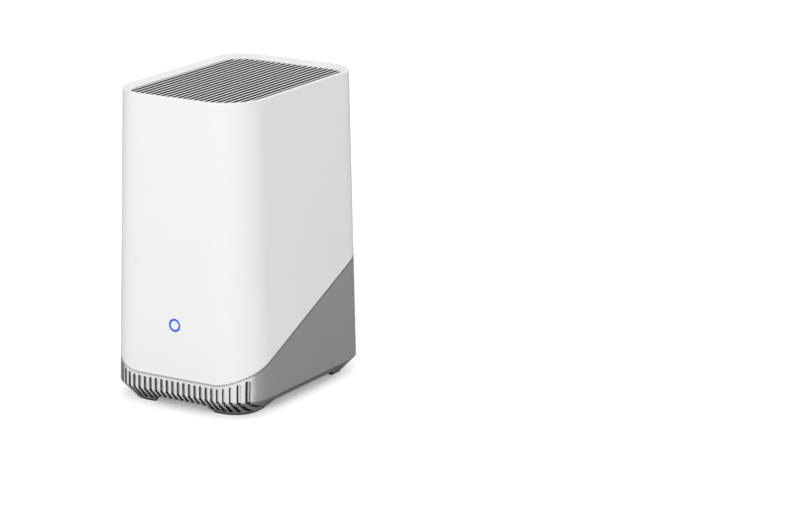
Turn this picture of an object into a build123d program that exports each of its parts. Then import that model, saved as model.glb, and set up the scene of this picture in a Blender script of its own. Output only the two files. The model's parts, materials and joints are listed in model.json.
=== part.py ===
from build123d import *
import os
from math import cos, degrees, radians, sin, sqrt, tan

# Security camera base station: a tapered upright housing on a ribbed skirt with four feet.
# Millimetres. The origin lies on the floor under the middle of the housing.
# X runs to the right seen from the front, the front faces -Y, Z points up.

# Housing
body_width = 96.0
body_depth = 129.0
body_height = 178.0
bend_height = 9.6
front_corner_radius = 23.0
rear_corner_radius = 18.6
side_taper = 4.34
rear_taper = 1.7
wall = 2.4
overrun = 2.0
fit_clearance = 0.3
loose_clearance = 0.6

# Slanted seam between the white upper shell and the grey skirt
seam_front_height = 18.9
seam_slope = 22.8
seam_round_radius = 30.0
seam_round_depth = 7.5
seam_gap = 0.25
lip_height = 3.0
lip_thickness = 1.2
lip_gap = 0.15

# Rim and slatted grille
rim_round = 0.7
rim_land = 0.8
rim_recess = 2.5
rim_inset = 4.6
rim_plate = 1.6
grille_flange = 1.8
grille_gap = 0.25
slat_pitch = 3.55
slat_gap = 1.7
cross_bar_count = 4
cross_bar_width = 2.0
cross_bar_depth = 1.2

# Ribbed skirt
rib_pitch = 3.7
rib_slot_width = 1.95
rib_slot_depth = 1.5
rib_side_margin = 5.0
rib_land = 1.75
chamfer_wall = 2.8
foot_height = 0.9
foot_rim = 1.0
rear_slot_count = 3
rear_slot_margin = 3.0

# Arches between the feet
arch_height = 4.4
front_foot_width = 33.0
front_foot_depth = 36.0
rear_foot_depth = 30.5
arch_lean = 4.5

# Base plate
plate_bottom = 4.6
plate_thickness = 2.0
plate_inset = 8.1
vent_count = 9
vent_width = 2.2
vent_end_room = 41.5
vent_inner = 3.6
vent_side_room = 14.0
gusset_thickness = 2.0
gusset_reach = 6.5
sound_slot_count = 5
sound_slot_width = 2.0
sound_slot_pitch = 5.4
sound_slot_length = 11.0

# Inner chassis
post_size = 9.0
post_inset_x = 16.0
post_inset_y = 18.5
deck_drop = 28.0
deck_thickness = 2.0
rail_height = 5.0
rail_thickness = 4.0
rail_height_shares = (0.16, 0.72)
panel_thickness = 2.5
panel_half_height = 13.0
panel_hole_radius = 2.0
panel_hole_offset = 12.0

# Shell bosses and screws
boss_radius = 3.5
boss_height = 14.0
boss_end_room = 34.5
screw_radius = 1.45
screw_hole_radius = 1.6
screw_head_radius = 2.7
screw_head_height = 1.4
screw_reach = 7.0
screw_end_gap = 2.0

# Drive bay
bay_from_post = 8.0
bay_wall = 1.8
drive_end_room = 29.575
drive_height_room = 77.55
drive_thickness = 9.5
drive_lid_thickness = 0.8
drive_board_thickness = 1.0
drive_lid_edge = 1.5
drive_board_share = 0.45
drive_corner_radius = 2.5
tray_rail = 1.7
tray_web = 1.2
tray_side_gap = 0.275
tray_floor = 1.6
tray_lift = 1.0
tray_top_margin = 3.2
tray_room = 4.5
tray_screw_low = 14.0
tray_screw_end = 9.85
tray_screw_head_radius = 2.4
tray_screw_head_height = 0.9
tray_screw_depth = 3.0
tray_screw_rise = 3.0
window_length_share = 0.32
window_edge = 9.925
window_place_shares = (0.25, 0.75)
bay_cover_thickness = 1.2
bay_cover_rim = 2.0
bay_cover_tab = 9.0
cover_screw_head_radius = 3.0
cover_screw_head_height = 1.2
cover_screw_boss_radius = 3.0
cover_screw_edge = 4.0
cover_screw_boss_height = 4.0
cover_screw_offset = 5.0
cover_screw_slot = 0.8
cover_tab_half = 5.8

# Drive connector
connector_length = 38.0
connector_width = 4.2
tongue_length = 33.0
tongue_thickness = 1.4
tongue_height = 2.6
sata_board_thickness = 1.6
sata_board_width = 18.0
sata_board_length = 52.0
ribbon_width = 16.0
ribbon_thickness = 0.3
ribbon_rise = 3.0
ribbon_radius = 1.4
ribbon_overlap = 9.0

# Main board
board_x = -8.0
board_thickness = 1.6
board_front_room = 31.5
board_rear_gap = 3.2
board_bottom = 14.0
board_drop = 60.0
board_hole_inset = 6.0
board_rear_hole_share = 0.72
standoff_radius = 3.0
processor_size = 21.0
processor_height = 1.4
processor_centre_y = 16.0
pad_thickness = 1.0
sink_size = 46.0
sink_base = 3.0
sink_fin_count = 9
sink_fin_thickness = 1.5
sink_fin_height = 13.0
sink_screw_share = 0.42
memory_length = 13.0
memory_width = 9.0
memory_height = 1.1
memory_count = 3
memory_pitch = 16.0
memory_rise = 16.0
shield_length = 22.0
shield_width = 20.0
shield_height = 2.6
shield_wall = 0.3
shield_edge_gap = 3.0

# Rear sockets and button
port_recess = 0.8
lan_height_above_floor = 35.5
lan_width = 16.0
lan_body_height = 13.4
lan_depth = 20.0
lan_opening_width = 11.8
lan_opening_height = 8.0
lan_opening_depth = 12.0
lan_opening_rise = 2.2
usb_height_above_floor = 53.0
usb_width = 14.5
usb_body_height = 6.8
usb_depth = 14.0
usb_opening_width = 12.5
usb_opening_height = 5.1
usb_opening_depth = 9.0
usb_tongue_width = 11.0
usb_tongue_thickness = 1.8
usb_tongue_inset = 0.8
inlet_height_above_floor = 20.5
inlet_width = 9.0
inlet_body_height = 11.0
inlet_depth = 14.0
inlet_bore_radius = 2.9
inlet_bore_depth = 9.5
inlet_pin_radius = 1.0
inlet_pin_setback = 0.8
inlet_axis_rise = 6.5
button_height_above_floor = 64.8
button_radius = 3.0
button_gap = 0.15
button_flange_radius = 4.0
button_flange_thickness = 1.2
button_travel = 0.5
button_stem_radius = 1.3
button_stem_length = 5.6
switch_size = 6.0
switch_depth = 3.6
plunger_radius = 1.75
plunger_reach = 1.4
plunger_depth = 1.0

# Fan
fan_side_room = 13.0
fan_thickness = 15.0
fan_corner_radius = 4.0
fan_flange = 2.6
fan_ring_wall = 1.5
fan_hole_inset = 4.5
fan_hole_radius = 2.0
fan_tip_gap = 0.9
fan_hub_radius = 15.0
fan_hub_wall = 1.6
fan_mount_radius = 13.0
fan_mount_thickness = 2.0
fan_strut_width = 3.0
fan_strut_count = 4
fan_blade_count = 9
fan_blade_thickness = 1.2
fan_blade_chord = 12.0
fan_blade_root_angle = 50.0
fan_blade_tip_angle = 32.0
fan_axial_gap = 0.7
fan_shaft_radius = 1.5
fan_shaft_gap = 0.05
fan_mount_floor = 1.0
fan_bearing_radius = 4.0
fan_bearing_length = 7.0
fan_stator_radius = 11.5
fan_yoke_radius = 6.9
fan_stator_height = 5.0
fan_pole_width = 6.0
deck_hole_land = 1.5
fan_screw_head_height = 1.6

# Speaker
speaker_side_gap = 0.6
speaker_boss_gap = 0.9
speaker_width = 20.0
speaker_rim = 3.0
speaker_gasket_thickness = 0.8
speaker_frame_height = 3.0
speaker_bridge = 0.8
speaker_magnet_radius = 8.5
speaker_magnet_height = 5.0
speaker_front_gap = 0.6
cone_thickness = 0.5
cone_gap = 0.3
cone_dome_radius = 4.5
cone_dome_length_share = 0.45

# Status light
light_height = 49.6
light_outer_radius = 3.7
light_inner_radius = 2.75
light_gap = 0.1
light_flange_radius = 5.2
light_flange_thickness = 1.2
light_board_size = 20.0
light_board_thickness = 1.2
led_size = 1.6
led_height = 0.8
led_count = 4
led_gap = 0.3
cap_depth = 3.5

# Antennas and leads
antenna_length = 38.0
antenna_height = 13.0
antenna_thickness = 0.8
antenna_wall_gap = 1.6
antenna_slot_height = 2.5
antenna_clip_wall = 1.2
antenna_clip_length = 5.0
antenna_clip_height = 4.0
antenna_slot_width = 1.25
antenna_slot_length = 28.5
antenna_lead_offset = 2.4
lead_radius = 0.6
lead_hole_radius = 1.6
cable_radius = 0.9
cable_share = 0.45

# Places and sizes worked out from the sizes above
front_face = -body_depth / 2
rib_pairs = int((body_width / 2 - rib_side_margin) / rib_pitch + 1 / 2)
front_arch_half = body_width / 2 - front_foot_width
side_arch_front = body_depth / 2 - front_foot_depth
side_arch_rear = body_depth / 2 - rear_foot_depth
vent_edge = body_width / 2 - vent_side_room
vent_pitch = (vent_edge - vent_inner) / (vent_count - 1)
vent_length = body_depth - 2 * vent_end_room
deck_height = body_height - deck_drop
boss_y = body_depth / 2 - boss_end_room
drive_width = body_depth - 2 * drive_end_room
drive_length = body_height - drive_height_room
tray_screw_high = drive_length - tray_screw_end
window_width = drive_width - 2 * window_edge
board_front = front_face + board_front_room
board_top = body_height - board_drop
processor_centre_z = (board_bottom + board_top) / 2
fan_size = body_width - 2 * fan_side_room
fan_hole_pitch = fan_size - 2 * fan_hole_inset
deck_hole_radius = fan_size / 2 - deck_hole_land
plate_top = plate_bottom + plate_thickness
gusset_top = plate_top + gusset_thickness
post_x = body_width / 2 - post_inset_x
post_y = body_depth / 2 - post_inset_y
bay_centre_x = post_x - bay_from_post
deck_top = deck_height + deck_thickness
grille_top = body_height - rim_recess
grille_seat = grille_top - rim_plate
grille_bottom = grille_seat - grille_flange
board_face = board_x + board_thickness
tray_half_x = drive_thickness / 2 + tray_web + (tray_room - tray_web) / 2
tray_half_y = drive_width / 2 + tray_side_gap + tray_rail
bay_half_x = tray_half_x + fit_clearance
bay_half_y = tray_half_y + fit_clearance
cover_top = plate_bottom + bay_cover_thickness
cover_half_x = bay_half_x + bay_cover_rim
cover_rear = bay_half_y + bay_cover_rim
cover_front = -bay_half_y - bay_cover_tab
cover_shoulder = -bay_half_y - bay_cover_rim
tray_top = cover_top + tray_floor + tray_lift + drive_length + tray_top_margin
window_length = (tray_top - cover_top) * window_length_share
drive_bottom = cover_top + tray_floor + tray_lift
drive_top = drive_bottom + drive_length
drive_left = bay_centre_x - tray_half_x + tray_web + fit_clearance
bay_roof = tray_top + tray_top_margin
bay_top = bay_roof + bay_wall
bay_left = bay_centre_x - bay_half_x - bay_wall
cover_screw_x = bay_centre_x - cover_screw_offset
cover_screw_y = cover_front + cover_screw_edge
speaker_left = -(post_x - gusset_reach) + speaker_side_gap
speaker_right = cover_screw_x - cover_screw_boss_radius - speaker_boss_gap
speaker_length = speaker_right - speaker_left
speaker_centre_x = (speaker_left + speaker_right) / 2
cone_dome_length = speaker_length * cone_dome_length_share
speaker_centre_y = front_face + plate_inset + speaker_front_gap + speaker_width / 2
panel_front = -post_y - post_size / 2 - panel_thickness
light_board_front = panel_front - light_board_thickness


# Box between two corners
def block(x0, x1, y0, y1, z0, z1):
    return Pos((x0 + x1) / 2, (y0 + y1) / 2, (z0 + z1) / 2) * Box(x1 - x0, y1 - y0, z1 - z0)


# Upright rod from z0 to z1
def rod_z(x, y, z0, z1, radius):
    return Pos(x, y, (z0 + z1) / 2) * Cylinder(radius, z1 - z0)


# Rod along X from x0 to x1
def rod_x(x0, x1, y, z, radius):
    return Pos((x0 + x1) / 2, y, z) * Rot(0, 90, 0) * Cylinder(radius, x1 - x0)


# Rod along Y from y0 to y1
def rod_y(x, y0, y1, z, radius):
    return Pos(x, (y0 + y1) / 2, z) * Rot(90, 0, 0) * Cylinder(radius, y1 - y0)


# Share of the way up from the bend to the rim
def rise(z):
    return (z - bend_height) / (body_height - bend_height)


# Half the housing's width at a height
def half_width(z):
    return body_width / 2 - side_taper * rise(z)


# Rear face of the housing at a height
def rear_face(z):
    return body_depth / 2 - rear_taper * rise(z)


# Plan outline of the housing at a height, drawn in by an inset
def outline(z, inset=0):
    back = rear_face(z) - inset
    front = front_face + inset
    plan = Pos(0, (back + front) / 2, z) * Rectangle(2 * (half_width(z) - inset), back - front)
    plan = fillet(plan.vertices().sort_by(Axis.Y)[:2], front_corner_radius - inset)
    return fillet(plan.vertices().sort_by(Axis.Y)[-2:], rear_corner_radius - inset)


# Solid of the housing's form between two heights
def housing_form(z0, z1, inset0=0, inset1=0):
    return loft([outline(z0, inset0), outline(z1, inset1)], ruled=True)


# Straight block with the housing's outline taken at one height
def outline_block(z0, z1, outline_z, inset):
    plan = outline(outline_z, inset)
    return extrude(Pos(0, 0, z0 - outline_z) * plan, z1 - z0)


# Height of the seam over a place along Y
def seam_height(y):
    round_end = front_face + seam_round_depth
    slope = radians(seam_slope)
    centre_y = round_end + seam_round_radius * sin(slope)
    front_drop = sqrt(seam_round_radius ** 2 - (front_face - centre_y) ** 2)
    centre_z = seam_front_height - front_drop
    if y < round_end:
        return centre_z + sqrt(seam_round_radius ** 2 - (y - centre_y) ** 2)
    return centre_z + seam_round_radius * cos(slope) + (y - round_end) * tan(slope)


# Everything below the seam, raised by an offset
def below_seam(offset=0):
    start = front_face - overrun
    middle = front_face + seam_round_depth / 2
    bend = front_face + seam_round_depth
    back = body_depth / 2 + overrun
    curve = ThreePointArc(*[(y, seam_height(y) + offset) for y in (start, middle, bend)])
    edges = curve + Polyline(
        (bend, seam_height(bend) + offset),
        (back, seam_height(back) + offset),
        (back, -overrun),
        (start, -overrun),
        (start, seam_height(start) + offset),
    )
    return extrude(Plane.YZ * make_face(edges), body_width, both=True)


# Everything above the seam, raised by an offset
def above_seam(offset=0):
    whole = block(-body_width, body_width, -body_depth, body_depth, 0, body_height + overrun)
    return whole - below_seam(offset)


# The four places mirrored about the middle
def four_places(x, y):
    return [(sx * x, sy * y) for sx in (-1, 1) for sy in (-1, 1)]


# Pan-head screw driven upwards, its head's top at z
def screw_up(x, y, z, reach, head_radius=screw_head_radius, head_height=screw_head_height):
    head = rod_z(x, y, z - head_height, z, head_radius)
    return head + rod_z(x, y, z, z + reach, screw_radius)


# White upper shell with its rim and the seat for the grille
def make_outer_shell():
    body = housing_form(bend_height, body_height - rim_round)
    body += housing_form(body_height - rim_round, body_height, 0, rim_round)
    body -= housing_form(bend_height - overrun, grille_seat, wall, wall)
    body -= housing_form(grille_seat - overrun, grille_top, rim_inset, rim_inset)
    rim_line = body_height - grille_top
    slope_inset = rim_round + rim_land
    body -= housing_form(grille_top, body_height, rim_inset, slope_inset)
    body -= housing_form(body_height, body_height + rim_line, slope_inset, slope_inset)
    body &= above_seam(seam_gap)
    for x, y in shell_boss_places():
        post = rod_z(x, y, deck_top, deck_top + boss_height, boss_radius)
        body += post & housing_form(bend_height, grille_seat, wall / 2, wall / 2)
    for x, y in shell_boss_places():
        body -= rod_z(x, y, deck_top - overrun, deck_top + boss_height - wall, screw_radius)
    body -= rod_y(0, front_face - overrun, front_face + wall + overrun, light_height,
                  light_outer_radius + light_gap)
    return body


# Centres of the bosses inside the side walls
def shell_boss_places():
    x = half_width(deck_top + boss_height) - wall - boss_radius + wall / 2
    return four_places(x, boss_y)


# Slatted grille that shows inside the rim
def make_top_grille():
    flange = outline_block(grille_bottom, grille_seat, grille_seat, wall + grille_gap)
    raised = outline_block(grille_seat - rim_plate, grille_top, grille_top, rim_inset + grille_gap)
    body = flange + raised
    opening = outline_block(grille_bottom - overrun, grille_top + overrun, grille_top,
                            rim_inset + grille_gap)
    reach = int((half_width(grille_top) - rim_inset + slat_gap / 2) / slat_pitch)
    slots = []
    for index in range(-reach, reach + 1):
        centre = index * slat_pitch
        slot = block(centre - slat_gap / 2, centre + slat_gap / 2, -body_depth, body_depth,
                     grille_bottom - overrun, grille_top + overrun)
        slots.append(slot & opening)
    body -= slots
    span = body_depth / (cross_bar_count + 1)
    frame = outline_block(grille_bottom, grille_bottom + cross_bar_depth, grille_seat,
                          wall + grille_gap)
    for index in range(cross_bar_count):
        centre = front_face + span * (index + 1)
        bar = block(-body_width, body_width, centre - cross_bar_width / 2,
                    centre + cross_bar_width / 2, grille_bottom, grille_bottom + cross_bar_depth)
        body += bar & frame
    return body


# Front face of the skirt at a place across it
def front_at(x):
    beside = max(x - (body_width / 2 - front_corner_radius), 0)
    return front_face + front_corner_radius - sqrt(front_corner_radius ** 2 - beside ** 2)


# Rib slots of the skirt's right half, all cut straight along Y
def rib_slots():
    half = rib_slot_width / 2
    start = front_face - overrun
    end = front_face + front_corner_radius
    core = housing_form(bend_height, seam_height(end), rib_slot_depth, rib_slot_depth)
    slots = []
    for index in range(rib_pairs):
        x = rib_pitch * (index + 1 / 2)
        low = foot_height - overrun if x < front_arch_half else foot_height + foot_rim
        round_centre = seam_height(front_at(x)) - rib_land - half
        groove = block(x - half, x + half, start, end, bend_height, round_centre)
        groove += rod_y(x, start, end, round_centre, half)
        slots.append(groove - core + block(x - half, x + half, start, end, low, bend_height))
    return slots


# Short slots in the slope of the rear feet, on both sides
def rear_foot_slots():
    slots = []
    half = rib_slot_width / 2
    for index in range(rear_slot_count):
        y = side_arch_rear + rear_slot_margin + rib_pitch * index
        for side in (-1, 1):
            inner = side * (body_width / 2 - bend_height - chamfer_wall)
            outer = side * (body_width / 2 + overrun)
            low, high = sorted((inner, outer))
            slots.append(block(low, high, y - half, y + half, foot_height + foot_rim,
                               arch_height + foot_rim))
    return slots


# Space under the skirt between the feet
def arch_cutters():
    low = foot_height - overrun
    lean = arch_lean * (arch_height - low) / (arch_height - foot_height)
    front = Polyline(
        (-front_arch_half, arch_height),
        (front_arch_half, arch_height),
        (front_arch_half + lean, low),
        (-front_arch_half - lean, low),
        close=True,
    )
    side = Polyline(
        (-side_arch_front, arch_height),
        (side_arch_rear, arch_height),
        (side_arch_rear + lean, low),
        (-side_arch_front - lean, low),
        close=True,
    )
    return [
        extrude(Plane.XZ * make_face(front), body_depth, both=True),
        extrude(Plane.YZ * make_face(side), body_width, both=True),
    ]


# Grey skirt: slanted upper edge, ribbed front, slope under the bend and four feet
def make_base_shell():
    full_inset = bend_height - foot_height
    top = seam_height(body_depth / 2) + lip_height + overrun
    body = housing_form(foot_height, bend_height, full_inset, 0)
    body += housing_form(bend_height, top) & below_seam()
    low = foot_height - overrun
    body -= housing_form(low, bend_height, bend_height - low + chamfer_wall, chamfer_wall)
    body -= housing_form(bend_height, top, wall, wall)
    body += skirt_lip(top)
    ribs = rib_slots()
    body -= ribs + [mirror(slot, Plane.YZ) for slot in ribs]
    body -= rear_foot_slots() + arch_cutters()
    gusset_form = housing_form(plate_top, gusset_top, bend_height - plate_top + chamfer_wall / 2,
                               bend_height - gusset_top + chamfer_wall / 2)
    for x, y in four_places(post_x, post_y):
        x_side = 1 if x > 0 else -1
        y_side = 1 if y > 0 else -1
        x0, x1 = sorted((x - x_side * gusset_reach, x_side * body_width / 2))
        y0, y1 = sorted((y - y_side * gusset_reach, y_side * body_depth / 2))
        gusset = block(x0, x1, y0, y1, plate_top, gusset_top) & gusset_form
        body += gusset - rod_z(x, y, plate_bottom, gusset_top + overrun, screw_hole_radius)
    return body - port_cutters()


# Lip that rises inside the upper shell, with its root on the skirt's wall
def skirt_lip(top):
    lip_inset = wall + lip_gap
    inner_inset = lip_inset + lip_thickness
    hollow = housing_form(bend_height, top, inner_inset, inner_inset)
    lip = (housing_form(bend_height, top, lip_inset, lip_inset) - hollow) & below_seam(lip_height)
    root = (housing_form(bend_height, top, wall / 2, wall / 2) - hollow) & below_seam(-lip_gap)
    return (lip + root) & above_seam(-lip_height)


# Holes through the rear wall for the sockets and the button
def port_cutters():
    y0 = body_depth / 2 - rear_taper - wall - overrun
    y1 = body_depth / 2 + overrun
    gap = fit_clearance
    cutters = []
    sockets = (
        (lan_height_above_floor, lan_width, lan_body_height),
        (usb_height_above_floor, usb_width, usb_body_height),
        (inlet_height_above_floor, inlet_width, inlet_body_height),
    )
    for height, width, body_height_here in sockets:
        cutters.append(block(board_face - gap, board_face + body_height_here + gap, y0, y1,
                             height - width / 2 - gap, height + width / 2 + gap))
    cutters.append(rod_y(0, y0, y1, button_height_above_floor, button_radius + button_gap))
    return cutters


# Plate that closes the underside
def make_base_plate():
    body = outline_block(plate_bottom, plate_top, plate_bottom, plate_inset)
    body += rod_z(cover_screw_x, cover_screw_y, plate_top, plate_top + cover_screw_boss_height,
                  cover_screw_boss_radius)
    gap = fit_clearance
    for x0, x1, y0 in cover_steps():
        body -= block(x0 - gap, x1 + gap, y0 - gap, cover_rear + gap, plate_bottom - overrun,
                      cover_top)
    body -= block(bay_centre_x - bay_half_x, bay_centre_x + bay_half_x, -bay_half_y, bay_half_y,
                  plate_bottom - overrun, plate_top + overrun)
    body -= rod_z(cover_screw_x, cover_screw_y, plate_bottom - overrun,
                  plate_top + cover_screw_boss_height + overrun, screw_hole_radius)
    for x, y in four_places(post_x, post_y):
        body -= rod_z(x, y, plate_bottom - overrun, plate_top + overrun, screw_hole_radius)
    for index in range(vent_count):
        x = -vent_edge + vent_pitch * index
        body -= block(x - vent_width / 2, x + vent_width / 2, -vent_length / 2, vent_length / 2,
                      plate_bottom - overrun, plate_top + overrun)
    for index in range(sound_slot_count):
        x = speaker_centre_x + sound_slot_pitch * (index - (sound_slot_count - 1) / 2)
        slot = Pos(x, speaker_centre_y, (plate_bottom + plate_top) / 2) * Rot(0, 0, 90)
        cutter = extrude(SlotOverall(sound_slot_length, sound_slot_width), plate_thickness, both=True)
        body -= slot * cutter
    return body


# Rubber pad under one foot
def make_foot_pad(x_side, y_side):
    outer_inset = bend_height - foot_height + fit_clearance
    inner_inset = bend_height - foot_height + chamfer_wall - fit_clearance
    ring = outline_block(0, foot_height, bend_height, outer_inset)
    ring -= outline_block(-overrun, foot_height + overrun, bend_height, inner_inset)
    lean = arch_lean + fit_clearance
    arch_end = side_arch_front if y_side < 0 else side_arch_rear
    x0, x1 = sorted((x_side * (front_arch_half + lean), x_side * body_width))
    y0, y1 = sorted((y_side * (arch_end + lean), y_side * body_depth))
    return ring & block(x0, x1, y0, y1, 0, foot_height)


# The cover's two steps: its full width, and the narrow tab for the screw
def cover_steps():
    return [
        (bay_centre_x - cover_half_x, bay_centre_x + cover_half_x, cover_shoulder),
        (cover_screw_x - cover_tab_half, cover_screw_x + cover_tab_half, cover_front),
    ]


# Cover over the drive bay
def make_bay_cover():
    wide, tab = [block(x0, x1, y0, cover_rear, plate_bottom, cover_top)
                 for x0, x1, y0 in cover_steps()]
    body = wide + tab
    body -= rod_z(cover_screw_x, cover_screw_y, plate_bottom - overrun, cover_top + overrun,
                  screw_hole_radius)
    return body


# Captive screw that holds the bay cover
def make_cover_screw():
    body = screw_up(cover_screw_x, cover_screw_y, plate_bottom,
                    plate_thickness + cover_screw_boss_height - screw_end_gap,
                    cover_screw_head_radius, cover_screw_head_height)
    low = plate_bottom - cover_screw_head_height
    slot = block(cover_screw_x - cover_screw_head_radius, cover_screw_x + cover_screw_head_radius,
                 cover_screw_y - cover_screw_slot / 2, cover_screw_y + cover_screw_slot / 2,
                 low, low + cover_screw_head_height / 2)
    return body - slot


# Places of the screws through the tray's rails, along the drive
def tray_screw_heights():
    return [drive_bottom + tray_screw_low, drive_bottom + tray_screw_high]


# Line of the tray screws across the drive's thickness
def tray_screw_x():
    return drive_left + tray_screw_rise


# Tray that carries the drive
def make_drive_tray():
    x0 = bay_centre_x - tray_half_x
    x1 = bay_centre_x + tray_half_x
    body = block(x0, x1, -tray_half_y, tray_half_y, cover_top, cover_top + tray_floor)
    for side in (-1, 1):
        y0, y1 = sorted((side * tray_half_y, side * (tray_half_y - tray_rail)))
        body += block(x0, x1, y0, y1, cover_top, tray_top)
    body += block(x0, x0 + tray_web, -tray_half_y, tray_half_y, cover_top, tray_top)
    for share in window_place_shares:
        centre = cover_top + (tray_top - cover_top) * share
        body -= block(x0 - overrun, x0 + tray_web + overrun, -window_width / 2, window_width / 2,
                      centre - window_length / 2, centre + window_length / 2)
    socket_half = connector_length / 2 + loose_clearance
    body -= block(x0 - overrun, drive_left + connector_width, -socket_half, socket_half,
                  drive_top - overrun, tray_top + overrun)
    for z in tray_screw_heights():
        body -= rod_y(tray_screw_x(), -tray_half_y - overrun, tray_half_y + overrun, z,
                      screw_hole_radius)
        for side in (-1, 1):
            y0, y1 = sorted((side * (tray_half_y + overrun),
                             side * (tray_half_y - tray_screw_head_height - fit_clearance)))
            body -= rod_y(tray_screw_x(), y0, y1, z, tray_screw_head_radius + fit_clearance)
    return body


# Cast case of the 2.5-inch drive
def make_drive_case():
    x0 = drive_left + drive_board_thickness
    x1 = drive_left + drive_thickness - drive_lid_thickness
    body = block(x0, x1, -drive_width / 2, drive_width / 2, drive_bottom, drive_top)
    body = fillet(body.edges().filter_by(Axis.X), drive_corner_radius)
    for z in tray_screw_heights():
        for side in (-1, 1):
            y0, y1 = sorted((side * (drive_width / 2 + overrun),
                             side * (drive_width / 2 - tray_screw_depth - fit_clearance)))
            body -= rod_y(tray_screw_x(), y0, y1, z, screw_hole_radius)
    return body


# Lid of the drive
def make_drive_lid():
    x1 = drive_left + drive_thickness
    half = drive_width / 2 - drive_lid_edge
    body = block(x1 - drive_lid_thickness, x1, -half, half, drive_bottom + drive_lid_edge,
                 drive_top - drive_lid_edge)
    return fillet(body.edges().filter_by(Axis.X), drive_corner_radius)


# Circuit board on the drive's back, with its connector tongue
def make_drive_board():
    x1 = drive_left + drive_board_thickness
    half = drive_width / 2 - drive_lid_edge
    body = block(drive_left, x1, -half, half, drive_top - drive_length * drive_board_share,
                 drive_top)
    return body + block(drive_left, drive_left + tongue_thickness, -tongue_length / 2,
                        tongue_length / 2, drive_top, drive_top + tongue_height)


# Four screws that hold the drive in its tray
def make_tray_screws():
    solids = []
    for z in tray_screw_heights():
        for side in (-1, 1):
            outer = tray_half_y
            inner = tray_half_y - tray_screw_head_height
            tip = drive_width / 2 - tray_screw_depth
            y0, y1 = sorted((side * outer, side * inner))
            head = rod_y(tray_screw_x(), y0, y1, z, tray_screw_head_radius)
            y0, y1 = sorted((side * inner, side * tip))
            solids.append(head + rod_y(tray_screw_x(), y0, y1, z, screw_radius))
    return Compound(solids)


# Socket that the drive's tongue enters
def make_sata_connector():
    middle = drive_left + tongue_thickness / 2
    x0 = middle - connector_width / 2
    x1 = middle + connector_width / 2
    low = drive_top + fit_clearance
    body = block(x0, x1, -connector_length / 2, connector_length / 2, low, bay_top)
    half = tongue_thickness / 2 + fit_clearance
    body -= block(middle - half, middle + half, -tongue_length / 2 - fit_clearance,
                  tongue_length / 2 + fit_clearance, low - overrun,
                  drive_top + tongue_height + loose_clearance)
    return body


# Small board over the bay
def make_sata_board():
    x0 = drive_left - connector_width
    return block(x0, x0 + sata_board_width, -sata_board_length / 2, sata_board_length / 2,
                 bay_top, bay_top + sata_board_thickness)


# Flat ribbon from the small board to the main board
def make_sata_ribbon():
    start_x = drive_left - connector_width + fit_clearance
    level = bay_top + sata_board_thickness + ribbon_rise
    end_x = board_face + fit_clearance + ribbon_thickness / 2
    path = FilletPolyline(
        (start_x + ribbon_rise, level - ribbon_rise + ribbon_thickness),
        (start_x + ribbon_rise, level),
        (end_x, level),
        (end_x, board_top - ribbon_overlap),
        radius=ribbon_radius,
    )
    strip = trace(path, ribbon_thickness)
    return extrude(Plane.XZ * strip, ribbon_width / 2, both=True)


# Inner frame: four posts, a fan deck, the drive bay and the board's standoffs
def make_chassis():
    body = outline_block(deck_height, deck_top, deck_top, wall + loose_clearance)
    for x, y in four_places(post_x, post_y):
        half = post_size / 2
        body += block(x - half, x + half, y - half, y + half, gusset_top, deck_height)
    for share in rail_height_shares:
        low = gusset_top + (deck_height - gusset_top) * share
        for side in (-1, 1):
            centre = side * post_x
            body += block(centre - rail_thickness / 2, centre + rail_thickness / 2, -post_y,
                          post_y, low, low + rail_height)
        body += block(-post_x, post_x, -post_y - rail_thickness / 2, -post_y + rail_thickness / 2,
                      low, low + rail_height)
    body += block(-post_x, post_x, panel_front, panel_front + panel_thickness,
                  light_height - panel_half_height, light_height + panel_half_height)
    body += bay_block()
    body -= bay_cavities()
    body -= rod_y(-panel_hole_offset, panel_front - overrun, -post_y, light_height,
                  panel_hole_radius)
    for y, z in board_fixings():
        body += rod_x(board_face, bay_left + bay_wall / 2, y, z, standoff_radius)
        body -= rod_x(board_face - overrun, board_face + screw_reach, y, z, screw_radius)
    body -= rod_z(0, 0, deck_height - overrun, deck_top + overrun, deck_hole_radius)
    for x, y in shell_boss_places():
        body -= rod_z(x, y, deck_height - overrun, deck_top + overrun, screw_hole_radius)
    for x, y in four_places(fan_hole_pitch / 2, fan_hole_pitch / 2):
        body -= rod_z(x, y, deck_height - overrun, deck_top + overrun, screw_radius)
    for x, y in four_places(post_x, post_y):
        body -= rod_z(x, y, gusset_top - overrun, gusset_top + screw_reach, screw_radius)
    for side in (-1, 1):
        x = side * antenna_place()
        body += antenna_clip(x)
        body -= rod_z(x - side * antenna_lead_offset, 0, deck_height - overrun, deck_top + overrun,
                      lead_hole_radius)
    return body


# Outer block of the drive bay
def bay_block():
    half_x = bay_half_x + bay_wall
    half_y = bay_half_y + bay_wall
    return block(bay_centre_x - half_x, bay_centre_x + half_x, -half_y, half_y, gusset_top,
                 bay_top)


# Room for the tray, and the window in the roof for the connector
def bay_cavities():
    middle = drive_left + tongue_thickness / 2
    half_x = connector_width / 2 + fit_clearance
    half_y = connector_length / 2 + fit_clearance
    return [
        block(bay_centre_x - bay_half_x, bay_centre_x + bay_half_x, -bay_half_y, bay_half_y,
              gusset_top - overrun, bay_roof),
        block(middle - half_x, middle + half_x, -half_y, half_y, bay_roof - overrun,
              bay_top + overrun),
    ]


# Pair of rails on the deck that hold an antenna upright
def antenna_clip(x):
    gap = antenna_thickness / 2 + lip_gap
    clip = None
    for end in (-1, 1):
        y = end * (antenna_length / 2 - antenna_clip_length)
        for side in (-1, 1):
            x0, x1 = sorted((x + side * gap, x + side * (gap + antenna_clip_wall)))
            rail = block(x0, x1, y - antenna_clip_length / 2, y + antenna_clip_length / 2, deck_top,
                         deck_top + antenna_clip_height)
            clip = rail if clip is None else clip + rail
    return clip


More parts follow.
